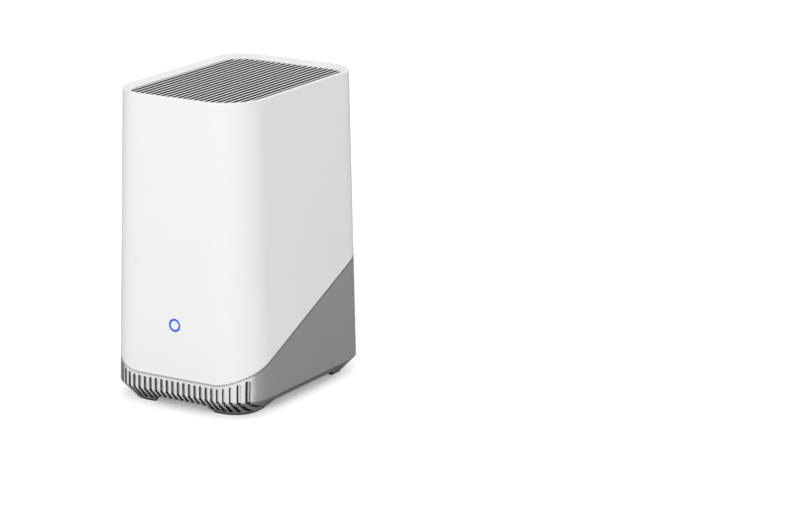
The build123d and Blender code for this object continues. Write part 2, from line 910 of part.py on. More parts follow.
# Distance of the antennas from the middle
def antenna_place():
    return half_width(deck_top + antenna_height) - wall - antenna_wall_gap - antenna_thickness / 2


# Printed antenna standing on the deck
def make_antenna(side):
    x = side * antenna_place()
    half = antenna_thickness / 2
    body = block(x - half, x + half, -antenna_length / 2, antenna_length / 2, deck_top,
                 deck_top + antenna_height)
    slot_low = deck_top + antenna_clip_height + antenna_slot_height
    return body - block(x - half - overrun, x + half + overrun,
                        antenna_length / 2 - antenna_slot_length, antenna_length / 2 + overrun,
                        slot_low, slot_low + antenna_slot_width)


# Centres of the main board's four fixings
def board_fixings():
    rear = board_front + (board_rear() - board_front) * board_rear_hole_share
    low = board_bottom + board_hole_inset
    high = board_top - board_hole_inset
    return [(y, z) for y in (board_front + board_hole_inset, rear) for z in (low, high)]


# Rear edge of the main board
def board_rear():
    return body_depth / 2 - rear_taper - wall - board_rear_gap


# Upright main board
def make_main_board():
    body = block(board_x, board_face, board_front, board_rear(), board_bottom, board_top)
    for y, z in board_fixings():
        body -= rod_x(board_x - overrun, board_face + overrun, y, z, screw_hole_radius)
    for y, z in sink_fixings():
        body -= rod_x(board_x - overrun, board_face + overrun, y, z, screw_hole_radius)
    return body


# Screws that hold the main board to its standoffs
def make_board_screws():
    solids = []
    for y, z in board_fixings():
        head = rod_x(board_x - screw_head_height, board_x, y, z, screw_head_radius)
        shank = rod_x(board_x, board_face + screw_reach - fit_clearance, y, z, screw_radius)
        solids.append(head + shank)
    return Compound(solids)


# Main processor under the heat sink
def make_processor():
    half = processor_size / 2
    return block(board_x - processor_height, board_x, processor_centre_y - half,
                 processor_centre_y + half, processor_centre_z - half, processor_centre_z + half)


# Row of memory chips under the processor
def make_memory_chips():
    solids = []
    for index in range(memory_count):
        y = processor_centre_y + memory_pitch * (index - (memory_count - 1) / 2)
        z = board_bottom + memory_rise
        solids.append(block(board_x - memory_height, board_x, y - memory_width / 2,
                            y + memory_width / 2, z - memory_length / 2, z + memory_length / 2))
    return Compound(solids)


# Soft pad between the processor and the heat sink
def make_thermal_pad():
    half = processor_size / 2
    x1 = board_x - processor_height
    return block(x1 - pad_thickness, x1, processor_centre_y - half, processor_centre_y + half,
                 processor_centre_z - half, processor_centre_z + half)


# Centres of the heat sink's two screws
def sink_fixings():
    reach = sink_size * sink_screw_share
    return [
        (processor_centre_y - reach, processor_centre_z - reach),
        (processor_centre_y + reach, processor_centre_z + reach),
    ]


# Finned heat sink
def make_heat_sink():
    half = sink_size / 2
    face = board_x - processor_height - pad_thickness
    body = block(face - sink_base, face, processor_centre_y - half, processor_centre_y + half,
                 processor_centre_z - half, processor_centre_z + half)
    span = (sink_size - sink_fin_thickness) / (sink_fin_count - 1)
    for index in range(sink_fin_count):
        y = processor_centre_y - half + span * index
        body += block(face - sink_base - sink_fin_height, face - sink_base, y,
                      y + sink_fin_thickness, processor_centre_z - half, processor_centre_z + half)
    for y, z in sink_fixings():
        body -= rod_x(face - sink_base - sink_fin_height - overrun, face - sink_base, y, z,
                      screw_head_radius + fit_clearance)
        body -= rod_x(face - sink_base - overrun, face + overrun, y, z, screw_hole_radius)
        body += rod_x(face, board_x, y, z, standoff_radius)
        body -= rod_x(face - overrun, board_x + overrun, y, z, screw_hole_radius)
    return body


# Two screws that pull the heat sink onto the processor
def make_sink_screws():
    solids = []
    face = board_x - processor_height - pad_thickness - sink_base
    for y, z in sink_fixings():
        head = rod_x(face - screw_head_height, face, y, z, screw_head_radius)
        solids.append(head + rod_x(face, board_face + screw_head_height, y, z, screw_radius))
    return Compound(solids)


# Tin can over one radio, open towards the board
def make_shield(y, z):
    half_y = shield_length / 2
    half_z = shield_width / 2
    body = block(board_x - shield_height, board_x, y - half_y, y + half_y, z - half_z, z + half_z)
    inner_y = half_y - shield_wall
    inner_z = half_z - shield_wall
    return body - block(board_x - shield_height + shield_wall, board_x + overrun, y - inner_y,
                        y + inner_y, z - inner_z, z + inner_z)


# Can over the wireless network radio
def make_network_shield():
    y = board_front + shield_edge_gap + shield_length / 2
    z = board_top - board_hole_inset * 2 - shield_edge_gap - shield_width / 2
    return make_shield(y, z)


# Can over the radio that talks to the cameras
def make_camera_radio_shield():
    y = board_front + shield_edge_gap + shield_length / 2
    z = board_bottom + board_hole_inset * 2 + shield_edge_gap + shield_width / 2
    return make_shield(y, z)


# Outer end of the sockets, a little inside the rear face
def socket_face(z):
    return rear_face(z) - port_recess


# Network socket
def make_lan_jack():
    z = lan_height_above_floor
    face = socket_face(z)
    body = block(board_face, board_face + lan_body_height, face - lan_depth, face,
                 z - lan_width / 2, z + lan_width / 2)
    x0 = board_face + lan_opening_rise
    return body - block(x0, x0 + lan_opening_height, face - lan_opening_depth, face + overrun,
                        z - lan_opening_width / 2, z + lan_opening_width / 2)


# USB socket with its tongue
def make_usb_socket():
    z = usb_height_above_floor
    face = socket_face(z)
    middle = board_face + usb_body_height / 2
    body = block(board_face, board_face + usb_body_height, face - usb_depth, face,
                 z - usb_width / 2, z + usb_width / 2)
    body -= block(middle - usb_opening_height / 2, middle + usb_opening_height / 2,
                  face - usb_opening_depth, face + overrun, z - usb_opening_width / 2,
                  z + usb_opening_width / 2)
    low = middle - usb_opening_height / 2 + usb_tongue_inset
    return body + block(low, low + usb_tongue_thickness, face - usb_opening_depth,
                        face - usb_tongue_inset, z - usb_tongue_width / 2, z + usb_tongue_width / 2)


# Round power inlet with its pin
def make_power_inlet():
    z = inlet_height_above_floor
    face = socket_face(z)
    axis_x = board_face + inlet_axis_rise
    body = block(board_face, board_face + inlet_body_height, face - inlet_depth, face,
                 z - inlet_width / 2, z + inlet_width / 2)
    body -= rod_y(axis_x, face - inlet_bore_depth, face + overrun, z, inlet_bore_radius)
    return body + rod_y(axis_x, face - inlet_bore_depth, face - inlet_pin_setback, z,
                        inlet_pin_radius)


# Inner end of the button's stem at rest
def stem_end():
    wall_inside = rear_face(button_height_above_floor) - wall
    return wall_inside - fit_clearance - button_flange_thickness - button_stem_length


# Button on the rear face
def make_sync_button():
    z = button_height_above_floor
    flange_face = rear_face(z) - wall - fit_clearance
    flange_back = flange_face - button_flange_thickness
    body = rod_y(0, flange_back, body_depth / 2, z, button_radius)
    body += rod_y(0, flange_back, flange_face, z, button_flange_radius)
    return body + rod_y(0, stem_end(), flange_back, z, button_stem_radius)


# Plunger of the switch, pushed by the button
def make_switch_plunger():
    z = button_height_above_floor
    return rod_y(0, stem_end() - plunger_reach - plunger_depth, stem_end(), z, plunger_radius)


# Switch behind the button, standing on the main board
def make_button_switch():
    z = button_height_above_floor
    face = stem_end() - plunger_reach
    half = switch_size / 2
    body = block(board_face, half, face - switch_depth, face, z - half, z + half)
    depth = plunger_depth + button_travel + fit_clearance
    return body - rod_y(0, face - depth, face + overrun, z, plunger_radius + button_gap)


# Frame of the fan with its motor mount and bearing tube
def make_fan_frame():
    half = fan_size / 2
    top = deck_top + fan_thickness
    bore = half - fan_ring_wall
    plan = fillet(Rectangle(fan_size, fan_size).vertices(), fan_corner_radius)
    body = Pos(0, 0, deck_top) * extrude(plan, fan_flange)
    body += Pos(0, 0, top - fan_flange) * extrude(plan, fan_flange)
    body += rod_z(0, 0, deck_top, top, half)
    body -= rod_z(0, 0, deck_top - overrun, top + overrun, bore)
    body += rod_z(0, 0, deck_top, deck_top + fan_mount_thickness, fan_mount_radius)
    for index in range(fan_strut_count):
        strut = block(0, bore + fan_ring_wall / 2, -fan_strut_width / 2, fan_strut_width / 2,
                      deck_top, deck_top + fan_mount_thickness)
        body += Rot(0, 0, 360 / fan_strut_count * (index + 1 / 2)) * strut
    tube_top = deck_top + fan_mount_thickness + fan_bearing_length
    body += rod_z(0, 0, deck_top, tube_top, fan_bearing_radius)
    body -= rod_z(0, 0, deck_top + fan_mount_floor, tube_top + overrun,
                  fan_shaft_radius + fan_shaft_gap)
    for x, y in four_places(fan_hole_pitch / 2, fan_hole_pitch / 2):
        body -= rod_z(x, y, deck_top - overrun, top + overrun, fan_hole_radius)
    return body


# Windings round the bearing tube
def make_fan_stator():
    low = deck_top + fan_mount_thickness
    high = low + fan_stator_height
    body = rod_z(0, 0, low, high, fan_yoke_radius)
    for angle in (0, 90):
        body += Rot(0, 0, angle) * block(-fan_stator_radius, fan_stator_radius, -fan_pole_width / 2,
                                         fan_pole_width / 2, low, high)
    return body - rod_z(0, 0, low - overrun, high + overrun, fan_bearing_radius + lip_gap)


# Turning part of the fan: hub, blades and shaft
def make_fan_rotor():
    low = deck_top + fan_mount_thickness + fan_axial_gap
    high = deck_top + fan_thickness - fan_axial_gap
    body = rod_z(0, 0, low, high, fan_hub_radius)
    body -= rod_z(0, 0, low - overrun, high - fan_hub_wall, fan_hub_radius - fan_hub_wall)
    body += rod_z(0, 0, low, high - fan_hub_wall / 2, fan_shaft_radius)
    for index in range(fan_blade_count):
        body += Rot(0, 0, 360 / fan_blade_count * index) * fan_blade(low, high)
    return body


# One twisted blade along +X
def fan_blade(low, high):
    middle = (low + high) / 2
    root = fan_hub_radius - fan_hub_wall / 2
    tip = fan_size / 2 - fan_ring_wall - fan_tip_gap
    sections = []
    for radius, angle in ((root, fan_blade_root_angle), (tip, fan_blade_tip_angle)):
        place = Plane(origin=(radius, 0, middle), x_dir=(0, 1, 0), z_dir=(1, 0, 0))
        sections.append(place * Rot(0, 0, angle) * Rectangle(fan_blade_chord, fan_blade_thickness))
    return loft(sections, ruled=True)


# Four screws through the fan's corners
def make_fan_screws():
    top = deck_top + fan_thickness
    solids = []
    for x, y in four_places(fan_hole_pitch / 2, fan_hole_pitch / 2):
        head = rod_z(x, y, top, top + fan_screw_head_height, screw_head_radius)
        solids.append(head + rod_z(x, y, deck_height, top, screw_radius))
    return Compound(solids)


# Racetrack plan of the speaker, grown or shrunk by a margin
def speaker_plan(margin=0):
    plan = SlotOverall(speaker_length + 2 * margin, speaker_width + 2 * margin)
    return Pos(speaker_centre_x, speaker_centre_y, 0) * plan


# Foam ring between the speaker and the base plate
def make_speaker_gasket():
    ring = speaker_plan() - speaker_plan(-speaker_rim)
    return Pos(0, 0, plate_top) * extrude(ring, speaker_gasket_thickness)


# Frame of the speaker, which fires down
def make_speaker_frame():
    low = plate_top + speaker_gasket_thickness
    high = low + speaker_frame_height
    body = Pos(0, 0, low) * extrude(speaker_plan(), speaker_frame_height)
    body -= Pos(0, 0, low - overrun) * extrude(speaker_plan(-speaker_rim),
                                               speaker_frame_height + overrun - speaker_bridge)
    body -= rod_z(speaker_centre_x, speaker_centre_y, low, high + overrun, cone_dome_radius)
    return body


# Cone of the speaker
def make_speaker_cone():
    low = plate_top + speaker_gasket_thickness + cone_gap
    high = low + speaker_frame_height - speaker_bridge - cone_gap - cone_thickness
    margin = -speaker_rim - cone_gap
    outer = loft([Pos(0, 0, low) * speaker_plan(margin), Pos(0, 0, high) * cone_top()])
    inner = loft([Pos(0, 0, low - cone_thickness) * speaker_plan(margin),
                  Pos(0, 0, high - cone_thickness) * cone_top()])
    return outer - inner


# Upper outline of the cone
def cone_top():
    plan = SlotOverall(cone_dome_length, 2 * cone_dome_radius)
    return Pos(speaker_centre_x, speaker_centre_y, 0) * plan


# Magnet on the speaker's back
def make_speaker_magnet():
    low = plate_top + speaker_gasket_thickness + speaker_frame_height
    return rod_z(speaker_centre_x, speaker_centre_y, low, low + speaker_magnet_height,
                 speaker_magnet_radius)


# Clear ring that carries the light to the front face
def make_light_guide():
    back = light_board_front - led_height - led_gap
    inside = front_face + wall
    body = rod_y(0, front_face, back, light_height, light_outer_radius)
    body += rod_y(0, inside, inside + light_flange_thickness, light_height, light_flange_radius)
    return body - rod_y(0, front_face - overrun, back + overrun, light_height, light_inner_radius)


# White disc inside the ring
def make_light_cap():
    return rod_y(0, front_face, front_face + cap_depth, light_height,
                 light_inner_radius - light_gap)


# Small board behind the ring
def make_light_board():
    half = light_board_size / 2
    return block(-half, half, light_board_front, panel_front, light_height - half,
                 light_height + half)


# Lamps on the small board, under the ring
def make_leds():
    solids = []
    radius = (light_outer_radius + light_inner_radius) / 2
    for index in range(led_count):
        angle = radians(360 / led_count * index)
        x = radius * cos(angle)
        z = light_height + radius * sin(angle)
        half = led_size / 2
        solids.append(block(x - half, x + half, light_board_front - led_height,
                            light_board_front, z - half, z + half))
    return Compound(solids)


# Tube along straight runs joined by large arcs
def lead(points, radius):
    places = [Vector(*point) for point in points]
    bends = []
    for before, corner, after in zip(places, places[1:], places[2:]):
        turn = (corner - before).get_angle(after - corner)
        run = min((corner - before).length, (after - corner).length)
        bends.append(cable_share * run / tan(radians(turn) / 2))
    path = FilletPolyline(*places, radius=bends)
    print("lead radii", [round(bend, 1) for bend in bends], "length", round(path.length, 1))
    section = Plane(origin=path @ 0, z_dir=path % 0) * Circle(radius)
    return sweep(section, path=path)


# Lead from the fan's motor down to the main board
def make_fan_lead():
    x = board_x - cable_radius - fit_clearance
    return lead([
        (x - 8, 6, deck_top),
        (x - 8, 6, deck_height - 11),
        (x, 3, board_top + 8),
        (x, 3, board_top - 8),
    ], cable_radius)


# Lead from the speaker to the main board
def make_speaker_lead():
    x = board_x - cable_radius - fit_clearance
    return lead([
        (speaker_centre_x - speaker_magnet_radius, speaker_centre_y, plate_top + 7),
        (speaker_centre_x - speaker_magnet_radius - 6, speaker_centre_y, plate_top + 7),
        (x - 9, board_front - 3, board_bottom + 1),
        (x, board_front + 10, board_bottom + 1.2),
        (x, board_front + 18, board_bottom + 8),
    ], cable_radius)


# Lead from the status light to the main board
def make_light_lead():
    x = board_x - cable_radius - fit_clearance
    return lead([
        (-panel_hole_offset, panel_front - 1, light_height),
        (-panel_hole_offset, -post_y + 2, light_height),
        (x, board_front - 4, light_height + 3),
        (x, board_front + 6, light_height + 3),
    ], cable_radius)


# Lead from the left antenna to the network radio
def make_left_antenna_lead():
    x = -antenna_place() + antenna_lead_offset
    y = board_front + shield_edge_gap + shield_length / 2
    end_x = board_x - shield_height - lead_radius - lip_gap
    return lead([
        (x, 0, deck_top + 3),
        (x, 0, deck_height - 8),
        (end_x - 10, y, board_top + 6),
        (end_x, y, board_top - 8),
        (end_x, y, board_top - 22),
    ], lead_radius)


# Lead from the right antenna, over the bay, to the camera radio
def make_right_antenna_lead():
    x = antenna_place() - antenna_lead_offset
    y = board_front + shield_edge_gap + shield_length / 2
    end_x = board_face + lead_radius + lip_gap
    return lead([
        (x, 0, deck_top + 3),
        (x, 0, deck_height - 8),
        (x - 20, y / 2, bay_top + 12),
        (end_x + 4, y, bay_top + 8),
        (end_x, y, board_top - 8),
        (end_x, y, board_top - 22),
    ], lead_radius)


# Screws from the base plate into the posts
def make_base_screws():
    reach = plate_thickness + gusset_thickness + screw_reach - fit_clearance
    return Compound([screw_up(x, y, plate_bottom, reach) for x, y in four_places(post_x, post_y)])


# Screws from the deck into the shell's bosses
def make_shell_screws():
    reach = deck_thickness + boss_height - wall - screw_end_gap
    return Compound([screw_up(x, y, deck_height, reach) for x, y in shell_boss_places()])


parts = {
    "outer_shell": make_outer_shell(),
    "top_grille": make_top_grille(),
    "base_shell": make_base_shell(),
    "base_plate": make_base_plate(),
    "foot_pad_front_left": make_foot_pad(-1, -1),
    "foot_pad_front_right": make_foot_pad(1, -1),
    "foot_pad_rear_left": make_foot_pad(-1, 1),
    "foot_pad_rear_right": make_foot_pad(1, 1),
    "bay_cover": make_bay_cover(),
    "cover_screw": make_cover_screw(),
    "drive_tray": make_drive_tray(),
    "drive_case": make_drive_case(),
    "drive_lid": make_drive_lid(),
    "drive_board": make_drive_board(),
    "tray_screws": make_tray_screws(),
    "sata_connector": make_sata_connector(),
    "sata_board": make_sata_board(),
    "sata_ribbon": make_sata_ribbon(),
    "chassis": make_chassis(),
    "main_board": make_main_board(),
    "board_screws": make_board_screws(),
    "processor": make_processor(),
    "memory_chips": make_memory_chips(),
    "thermal_pad": make_thermal_pad(),
    "heat_sink": make_heat_sink(),
    "sink_screws": make_sink_screws(),
    "network_shield": make_network_shield(),
    "camera_radio_shield": make_camera_radio_shield(),
    "lan_jack": make_lan_jack(),
    "usb_socket": make_usb_socket(),
    "power_inlet": make_power_inlet(),
    "sync_button": make_sync_button(),
    "switch_plunger": make_switch_plunger(),
    "button_switch": make_button_switch(),
    "fan_frame": make_fan_frame(),
    "fan_stator": make_fan_stator(),
    "fan_rotor": make_fan_rotor(),
    "fan_screws": make_fan_screws(),
    "fan_lead": make_fan_lead(),
    "speaker_gasket": make_speaker_gasket(),
    "speaker_frame": make_speaker_frame(),
    "speaker_cone": make_speaker_cone(),
    "speaker_magnet": make_speaker_magnet(),
    "speaker_lead": make_speaker_lead(),
    "light_guide": make_light_guide(),
    "light_cap": make_light_cap(),
    "light_board": make_light_board(),
    "leds": make_leds(),
    "light_lead": make_light_lead(),
    "antenna_left": make_antenna(-1),
    "antenna_right": make_antenna(1),
    "antenna_lead_left": make_left_antenna_lead(),
    "antenna_lead_right": make_right_antenna_lead(),
    "base_screws": make_base_screws(),
    "shell_screws": make_shell_screws(),
}

os.makedirs("parts", exist_ok=True)
for name, shape in parts.items():
    export_step(shape, f"parts/{name}.step")
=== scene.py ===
import json
import logging
import math
from dataclasses import dataclass
from enum import Enum
from typing import Any, ClassVar, Sequence

import bmesh
import bpy
from bmesh.types import BMEdge, BMesh, BMVert
from bpy.types import Material, Node, NodeSocket, NodeTree, Object
from mathutils import Matrix, Vector


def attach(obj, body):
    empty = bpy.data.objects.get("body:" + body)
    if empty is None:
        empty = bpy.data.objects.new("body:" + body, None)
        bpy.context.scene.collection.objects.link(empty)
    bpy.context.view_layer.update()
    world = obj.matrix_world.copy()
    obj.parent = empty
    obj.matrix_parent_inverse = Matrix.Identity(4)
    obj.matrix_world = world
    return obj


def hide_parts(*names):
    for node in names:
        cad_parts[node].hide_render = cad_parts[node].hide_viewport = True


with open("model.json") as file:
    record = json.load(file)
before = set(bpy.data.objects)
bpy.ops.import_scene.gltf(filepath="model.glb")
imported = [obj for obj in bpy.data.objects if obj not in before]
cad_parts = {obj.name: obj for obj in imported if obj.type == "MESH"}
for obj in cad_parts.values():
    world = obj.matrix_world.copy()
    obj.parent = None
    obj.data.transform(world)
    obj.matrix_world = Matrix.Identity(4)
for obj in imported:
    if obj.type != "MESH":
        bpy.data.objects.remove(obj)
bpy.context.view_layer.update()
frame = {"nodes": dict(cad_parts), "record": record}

MM = 0.001
SHARP_EDGE = math.radians(32.0)
HAIR = 0.001 * MM
WHITE = (1.0, 1.0, 1.0, 1.0)
SOCKET_TYPES = {"Color": "NodeSocketColor", "Vector": "NodeSocketVector",
                "Stretch": "NodeSocketVector"}

Colour = Triple = tuple[float, float, float]
Sockets = dict[str | int, Any]
Eases = tuple[tuple[float | str, ...], ...]

log = logging.getLogger("base_station")
logging.basicConfig(level=logging.INFO, format="%(message)s")


@dataclass(frozen=True)
class HousingForm:
    """Outer form of the tapered housing, in metres.

    The plan is a rectangle with larger round corners in front than behind. It narrows
    towards the rim, and a slanted seam parts the white shell from the grey skirt.
    """

    half_width: float = 48.0 * MM
    half_depth: float = 64.5 * MM
    height: float = 178.0 * MM
    bend: float = 9.6 * MM
    front_radius: float = 23.0 * MM
    rear_radius: float = 18.6 * MM
    side_taper: float = 4.34 * MM
    rear_taper: float = 1.7 * MM
    seam_front: float = 18.9 * MM
    seam_slope: float = math.radians(22.8)
    seam_radius: float = 30.0 * MM
    seam_depth: float = 7.5 * MM

    def rise(self, z: float) -> float:
        """Share of the way up from the bend to the rim."""
        return (z - self.bend) / (self.height - self.bend)

    def normal(self, x: float, y: float) -> Vector:
        """Gives the outward direction at a point of the plan outline.

        Args:
            x: Place across the housing, on the outline at the bend.
            y: Place along the housing, on the outline at the bend.

        Returns:
            A unit vector in the plan.
        """
        for end, radius in ((-1, self.front_radius), (1, self.rear_radius)):
            past = y - end * (self.half_depth - radius)
            if past * end > 0:
                out = max(abs(x) - self.half_width + radius, 0.0)
                return Vector((math.copysign(out, x), past, 0)).normalized()
        return Vector((math.copysign(1.0, x), 0, 0))

    def place(self, x: float, y: float, z: float, inset: float = 0.0) -> Vector:
        """Moves a point of the plan outline to a height and draws it in.

        Args:
            x: Place across the housing, on the outline at the bend.
            y: Place along the housing, on the outline at the bend.
            z: Height above the floor.
            inset: Distance that the point is drawn in.

        Returns:
            The point in space.
        """
        shift = self.rise(z)
        share = min(abs(x) / self.half_width * 2, 1)
        across = x - math.copysign(self.side_taper * shift, x) * share
        along = y - (self.rear_taper * shift if y > 0 else 0.0)
        return Vector((across, along, z)) - self.normal(x, y) * inset

    def seam_arc(self) -> tuple[float, float, float]:
        """Works out the arc at the seam's front end.

        Returns:
            Y of the arc's end, and Y and height of its middle.
        """
        end = -self.half_depth + self.seam_depth
        middle = end + self.seam_radius * math.sin(self.seam_slope)
        drop = math.sqrt(self.seam_radius ** 2 - (-self.half_depth - middle) ** 2)
        return end, middle, self.seam_front - drop

    def seam(self, y: float) -> float:
        """Gives the seam's height.

        Args:
            y: Place along the housing.

        Returns:
            Height above the floor.
        """
        end, middle, low = self.seam_arc()
        if y < end:
            return low + math.sqrt(self.seam_radius ** 2 - (y - middle) ** 2)
        start = low + self.seam_radius * math.cos(self.seam_slope)
        return start + (y - end) * math.tan(self.seam_slope)


FORM = HousingForm()


class Tree:
    """Places and wires the nodes of one node tree."""

    def __init__(self, tree: NodeTree) -> None:
        """Keeps the tree that the nodes go into."""
        self.tree = tree

    def add(self, kind: str, inputs: Sockets | None = None, **settings: Any) -> Node:
        """Adds a node.

        Args:
            kind: Blender's name of the node type.
            inputs: Values or sockets for its inputs, by name or index.
            settings: Properties of the node.

        Returns:
            The new node.
        """
        node = self.tree.nodes.new(kind)
        for name, value in settings.items():
            setattr(node, name, value)
        for key, value in (inputs or {}).items():
            self.feed(node.inputs[key], value)
        return node

    def feed(self, target: NodeSocket, value: Any) -> None:
        """Links a socket to an input, or sets the input's value.

        Args:
            target: The input.
            value: A socket, or a plain value.
        """
        if isinstance(value, NodeSocket):
            self.tree.links.new(value, target)
        else:
            target.default_value = value

    def math(self, operation: str, *values: Any) -> NodeSocket:
        """Adds a math node and gives its output."""
        return self.add("ShaderNodeMath", dict(enumerate(values)), operation=operation).outputs[0]

    def vector(self, operation: str, *values: Any) -> NodeSocket:
        """Adds a vector math node and gives its output vector."""
        return self.add("ShaderNodeVectorMath", dict(enumerate(values)),
                        operation=operation).outputs[0]

    def scaled(self, vector: Any, factor: Any) -> NodeSocket:
        """Scales a vector or colour."""
        inputs = {0: vector, "Scale": factor}
        return self.add("ShaderNodeVectorMath", inputs, operation="SCALE").outputs[0]

    def length(self, vector: Any) -> NodeSocket:
        """Gives a vector's length."""
        return self.add("ShaderNodeVectorMath", {0: vector}, operation="LENGTH").outputs["Value"]

    def split(self, vector: Any) -> Any:
        """Gives a vector's three parts."""
        return self.add("ShaderNodeSeparateXYZ", {0: vector}).outputs

    def join(self, *parts: Any) -> NodeSocket:
        """Joins parts into a vector."""
        return self.add("ShaderNodeCombineXYZ", dict(enumerate(parts))).outputs[0]

    def blend(self, factor: Any, first: Any, second: Any) -> NodeSocket:
        """Adds a colour mix and gives its output."""
        inputs = {0: factor, 6: first, 7: second}
        return self.add("ShaderNodeMix", inputs, data_type="RGBA").outputs[2]

    def remap(self, value: Any, *span: Any) -> NodeSocket:
        """Maps a value from a range, as low and high, to another, and keeps it inside that."""
        return self.add("ShaderNodeMapRange", dict(enumerate((value, *span)))).outputs[0]

    def noise(self, place: Any, scale: Any, detail: float, roughness: float = 0.5
              ) -> NodeSocket:
        """Adds a noise texture and gives its value."""
        return self.add("ShaderNodeTexNoise", {"Vector": place, "Scale": scale, "Detail": detail,
                                               "Roughness": roughness}).outputs[0]

    def cells(self, place: Any, scale: Any, **settings: Any) -> Any:
        """Adds a texture of cells and gives its outputs."""
        return self.add("ShaderNodeTexVoronoi", {"Vector": place, "Scale": scale},
                        **settings).outputs


@dataclass(frozen=True)
class Effect:
    """A look that materials share: a shader node group, built once."""

    name: ClassVar[str]
    inputs: ClassVar[tuple[str, ...]]
    outputs: ClassVar[tuple[str, ...]]

    def group(self) -> NodeTree:
        """Gives the node group, which it builds the first time.

        Returns:
            The group.
        """
        if self.name in bpy.data.node_groups:
            return bpy.data.node_groups[self.name]
        group = bpy.data.node_groups.new(self.name, "ShaderNodeTree")
        for way, names in (("INPUT", self.inputs), ("OUTPUT", self.outputs)):
            for name in names:
                group.interface.new_socket(name, in_out=way, socket_type=SOCKET_TYPES.get(
                    name, "NodeSocketFloat"))
        tree = Tree(group)
        tree.add("NodeGroupOutput", self.wire(tree, tree.add("NodeGroupInput").outputs))
        return group

    def wire(self, tree: Tree, given: Any) -> Sockets:
        """Places the group's nodes, which each effect does in its own way."""
        raise NotImplementedError


@dataclass(frozen=True)
class Grain(Effect):
    """Moulded grain: fine pits over a faint slow unevenness of tone."""

    name, inputs, outputs = "moulded_grain", ("Vector", "Scale"), ("Height", "Tone")
    detail: float = 3.0
    roughness: float = 0.6
    pit_scale: float = 0.6
    pit_share: float = 0.5
    slow_scale: float = 18.0
    slow_detail: float = 2.0
    slow_share: float = 0.6

    def wire(self, tree: Tree, given: Any) -> Sockets:
        """Places the group's nodes.

        Args:
            tree: The group's tree.
            given: The group's inputs.

        Returns:
            What feeds each output.
        """
        place, scale = given["Vector"], given["Scale"]
        fine = tree.noise(place, scale, self.detail, self.roughness)
        pits = tree.cells(place, tree.math("MULTIPLY", scale, self.pit_scale))
        slow = tree.noise(place, self.slow_scale, self.slow_detail)
        slow = tree.math("MULTIPLY", slow, self.slow_share)
        return {"Height": tree.math("MULTIPLY_ADD", pits["Distance"], self.pit_share, fine),
                "Tone": tree.math("MULTIPLY_ADD", fine, 1 - self.slow_share, slow)}


@dataclass(frozen=True)
class Flakes(Effect):
    """Metal flakes in paint: small cells, each with its own brightness."""

    name, inputs, outputs = "paint_flakes", ("Vector", "Scale"), ("Spark", "Height")
    cloud_scale: float = 30.0
    cloud_detail: float = 2.0
    cloud_share: float = 0.3

    def wire(self, tree: Tree, given: Any) -> Sockets:
        """Places the group's nodes.

        Args:
            tree: The group's tree.
            given: The group's inputs.

        Returns:
            What feeds each output.
        """
        cells = tree.cells(given["Vector"], given["Scale"])
        part = tree.add("ShaderNodeSeparateColor", {0: cells["Color"]}).outputs
        cloud = tree.noise(given["Vector"], self.cloud_scale, self.cloud_detail)
        flake = tree.math("MULTIPLY", part[0], 1 - self.cloud_share)
        return {"Spark": tree.math("MULTIPLY_ADD", cloud, self.cloud_share, flake),
                "Height": part[1]}


@dataclass(frozen=True)
class Brushed(Effect):
    """Rolled or brushed lines that run along one axis."""

    name, inputs, outputs = "brushed_lines", ("Vector", "Stretch"), ("Height", "Tone")
    detail: float = 4.0
    roughness: float = 0.7
    cloud_scale: float = 60.0
    cloud_detail: float = 2.0
    cloud_share: float = 0.4

    def wire(self, tree: Tree, given: Any) -> Sockets:
        """Places the group's nodes.

        Args:
            tree: The group's tree.
            given: The group's inputs.

        Returns:
            What feeds each output.
        """
        drawn = tree.vector("MULTIPLY", given["Vector"], given["Stretch"])
        lines = tree.noise(drawn, 1.0, self.detail, self.roughness)
        cloud = tree.noise(given["Vector"], self.cloud_scale, self.cloud_detail)
        line = tree.math("MULTIPLY", lines, 1 - self.cloud_share)
        return {"Height": lines, "Tone": tree.math("MULTIPLY_ADD", cloud, self.cloud_share, line)}


@dataclass(frozen=True)
class Tint(Effect):
    """Lightens and darkens a colour by a tone between 0 and 1."""

    name, inputs, outputs = "tinted", ("Color", "Tone", "Amount"), ("Color",)
    middle: float = 0.5

    def wire(self, tree: Tree, given: Any) -> Sockets:
        """Places the group's nodes.

        Args:
            tree: The group's tree.
            given: The group's inputs.

        Returns:
            What feeds each output.
        """
        tone = tree.math("SUBTRACT", given["Tone"], self.middle)
        factor = tree.math("ADD", tree.math("MULTIPLY", tone, given["Amount"]), 1.0)
        return {"Color": tree.scaled(given["Color"], factor)}


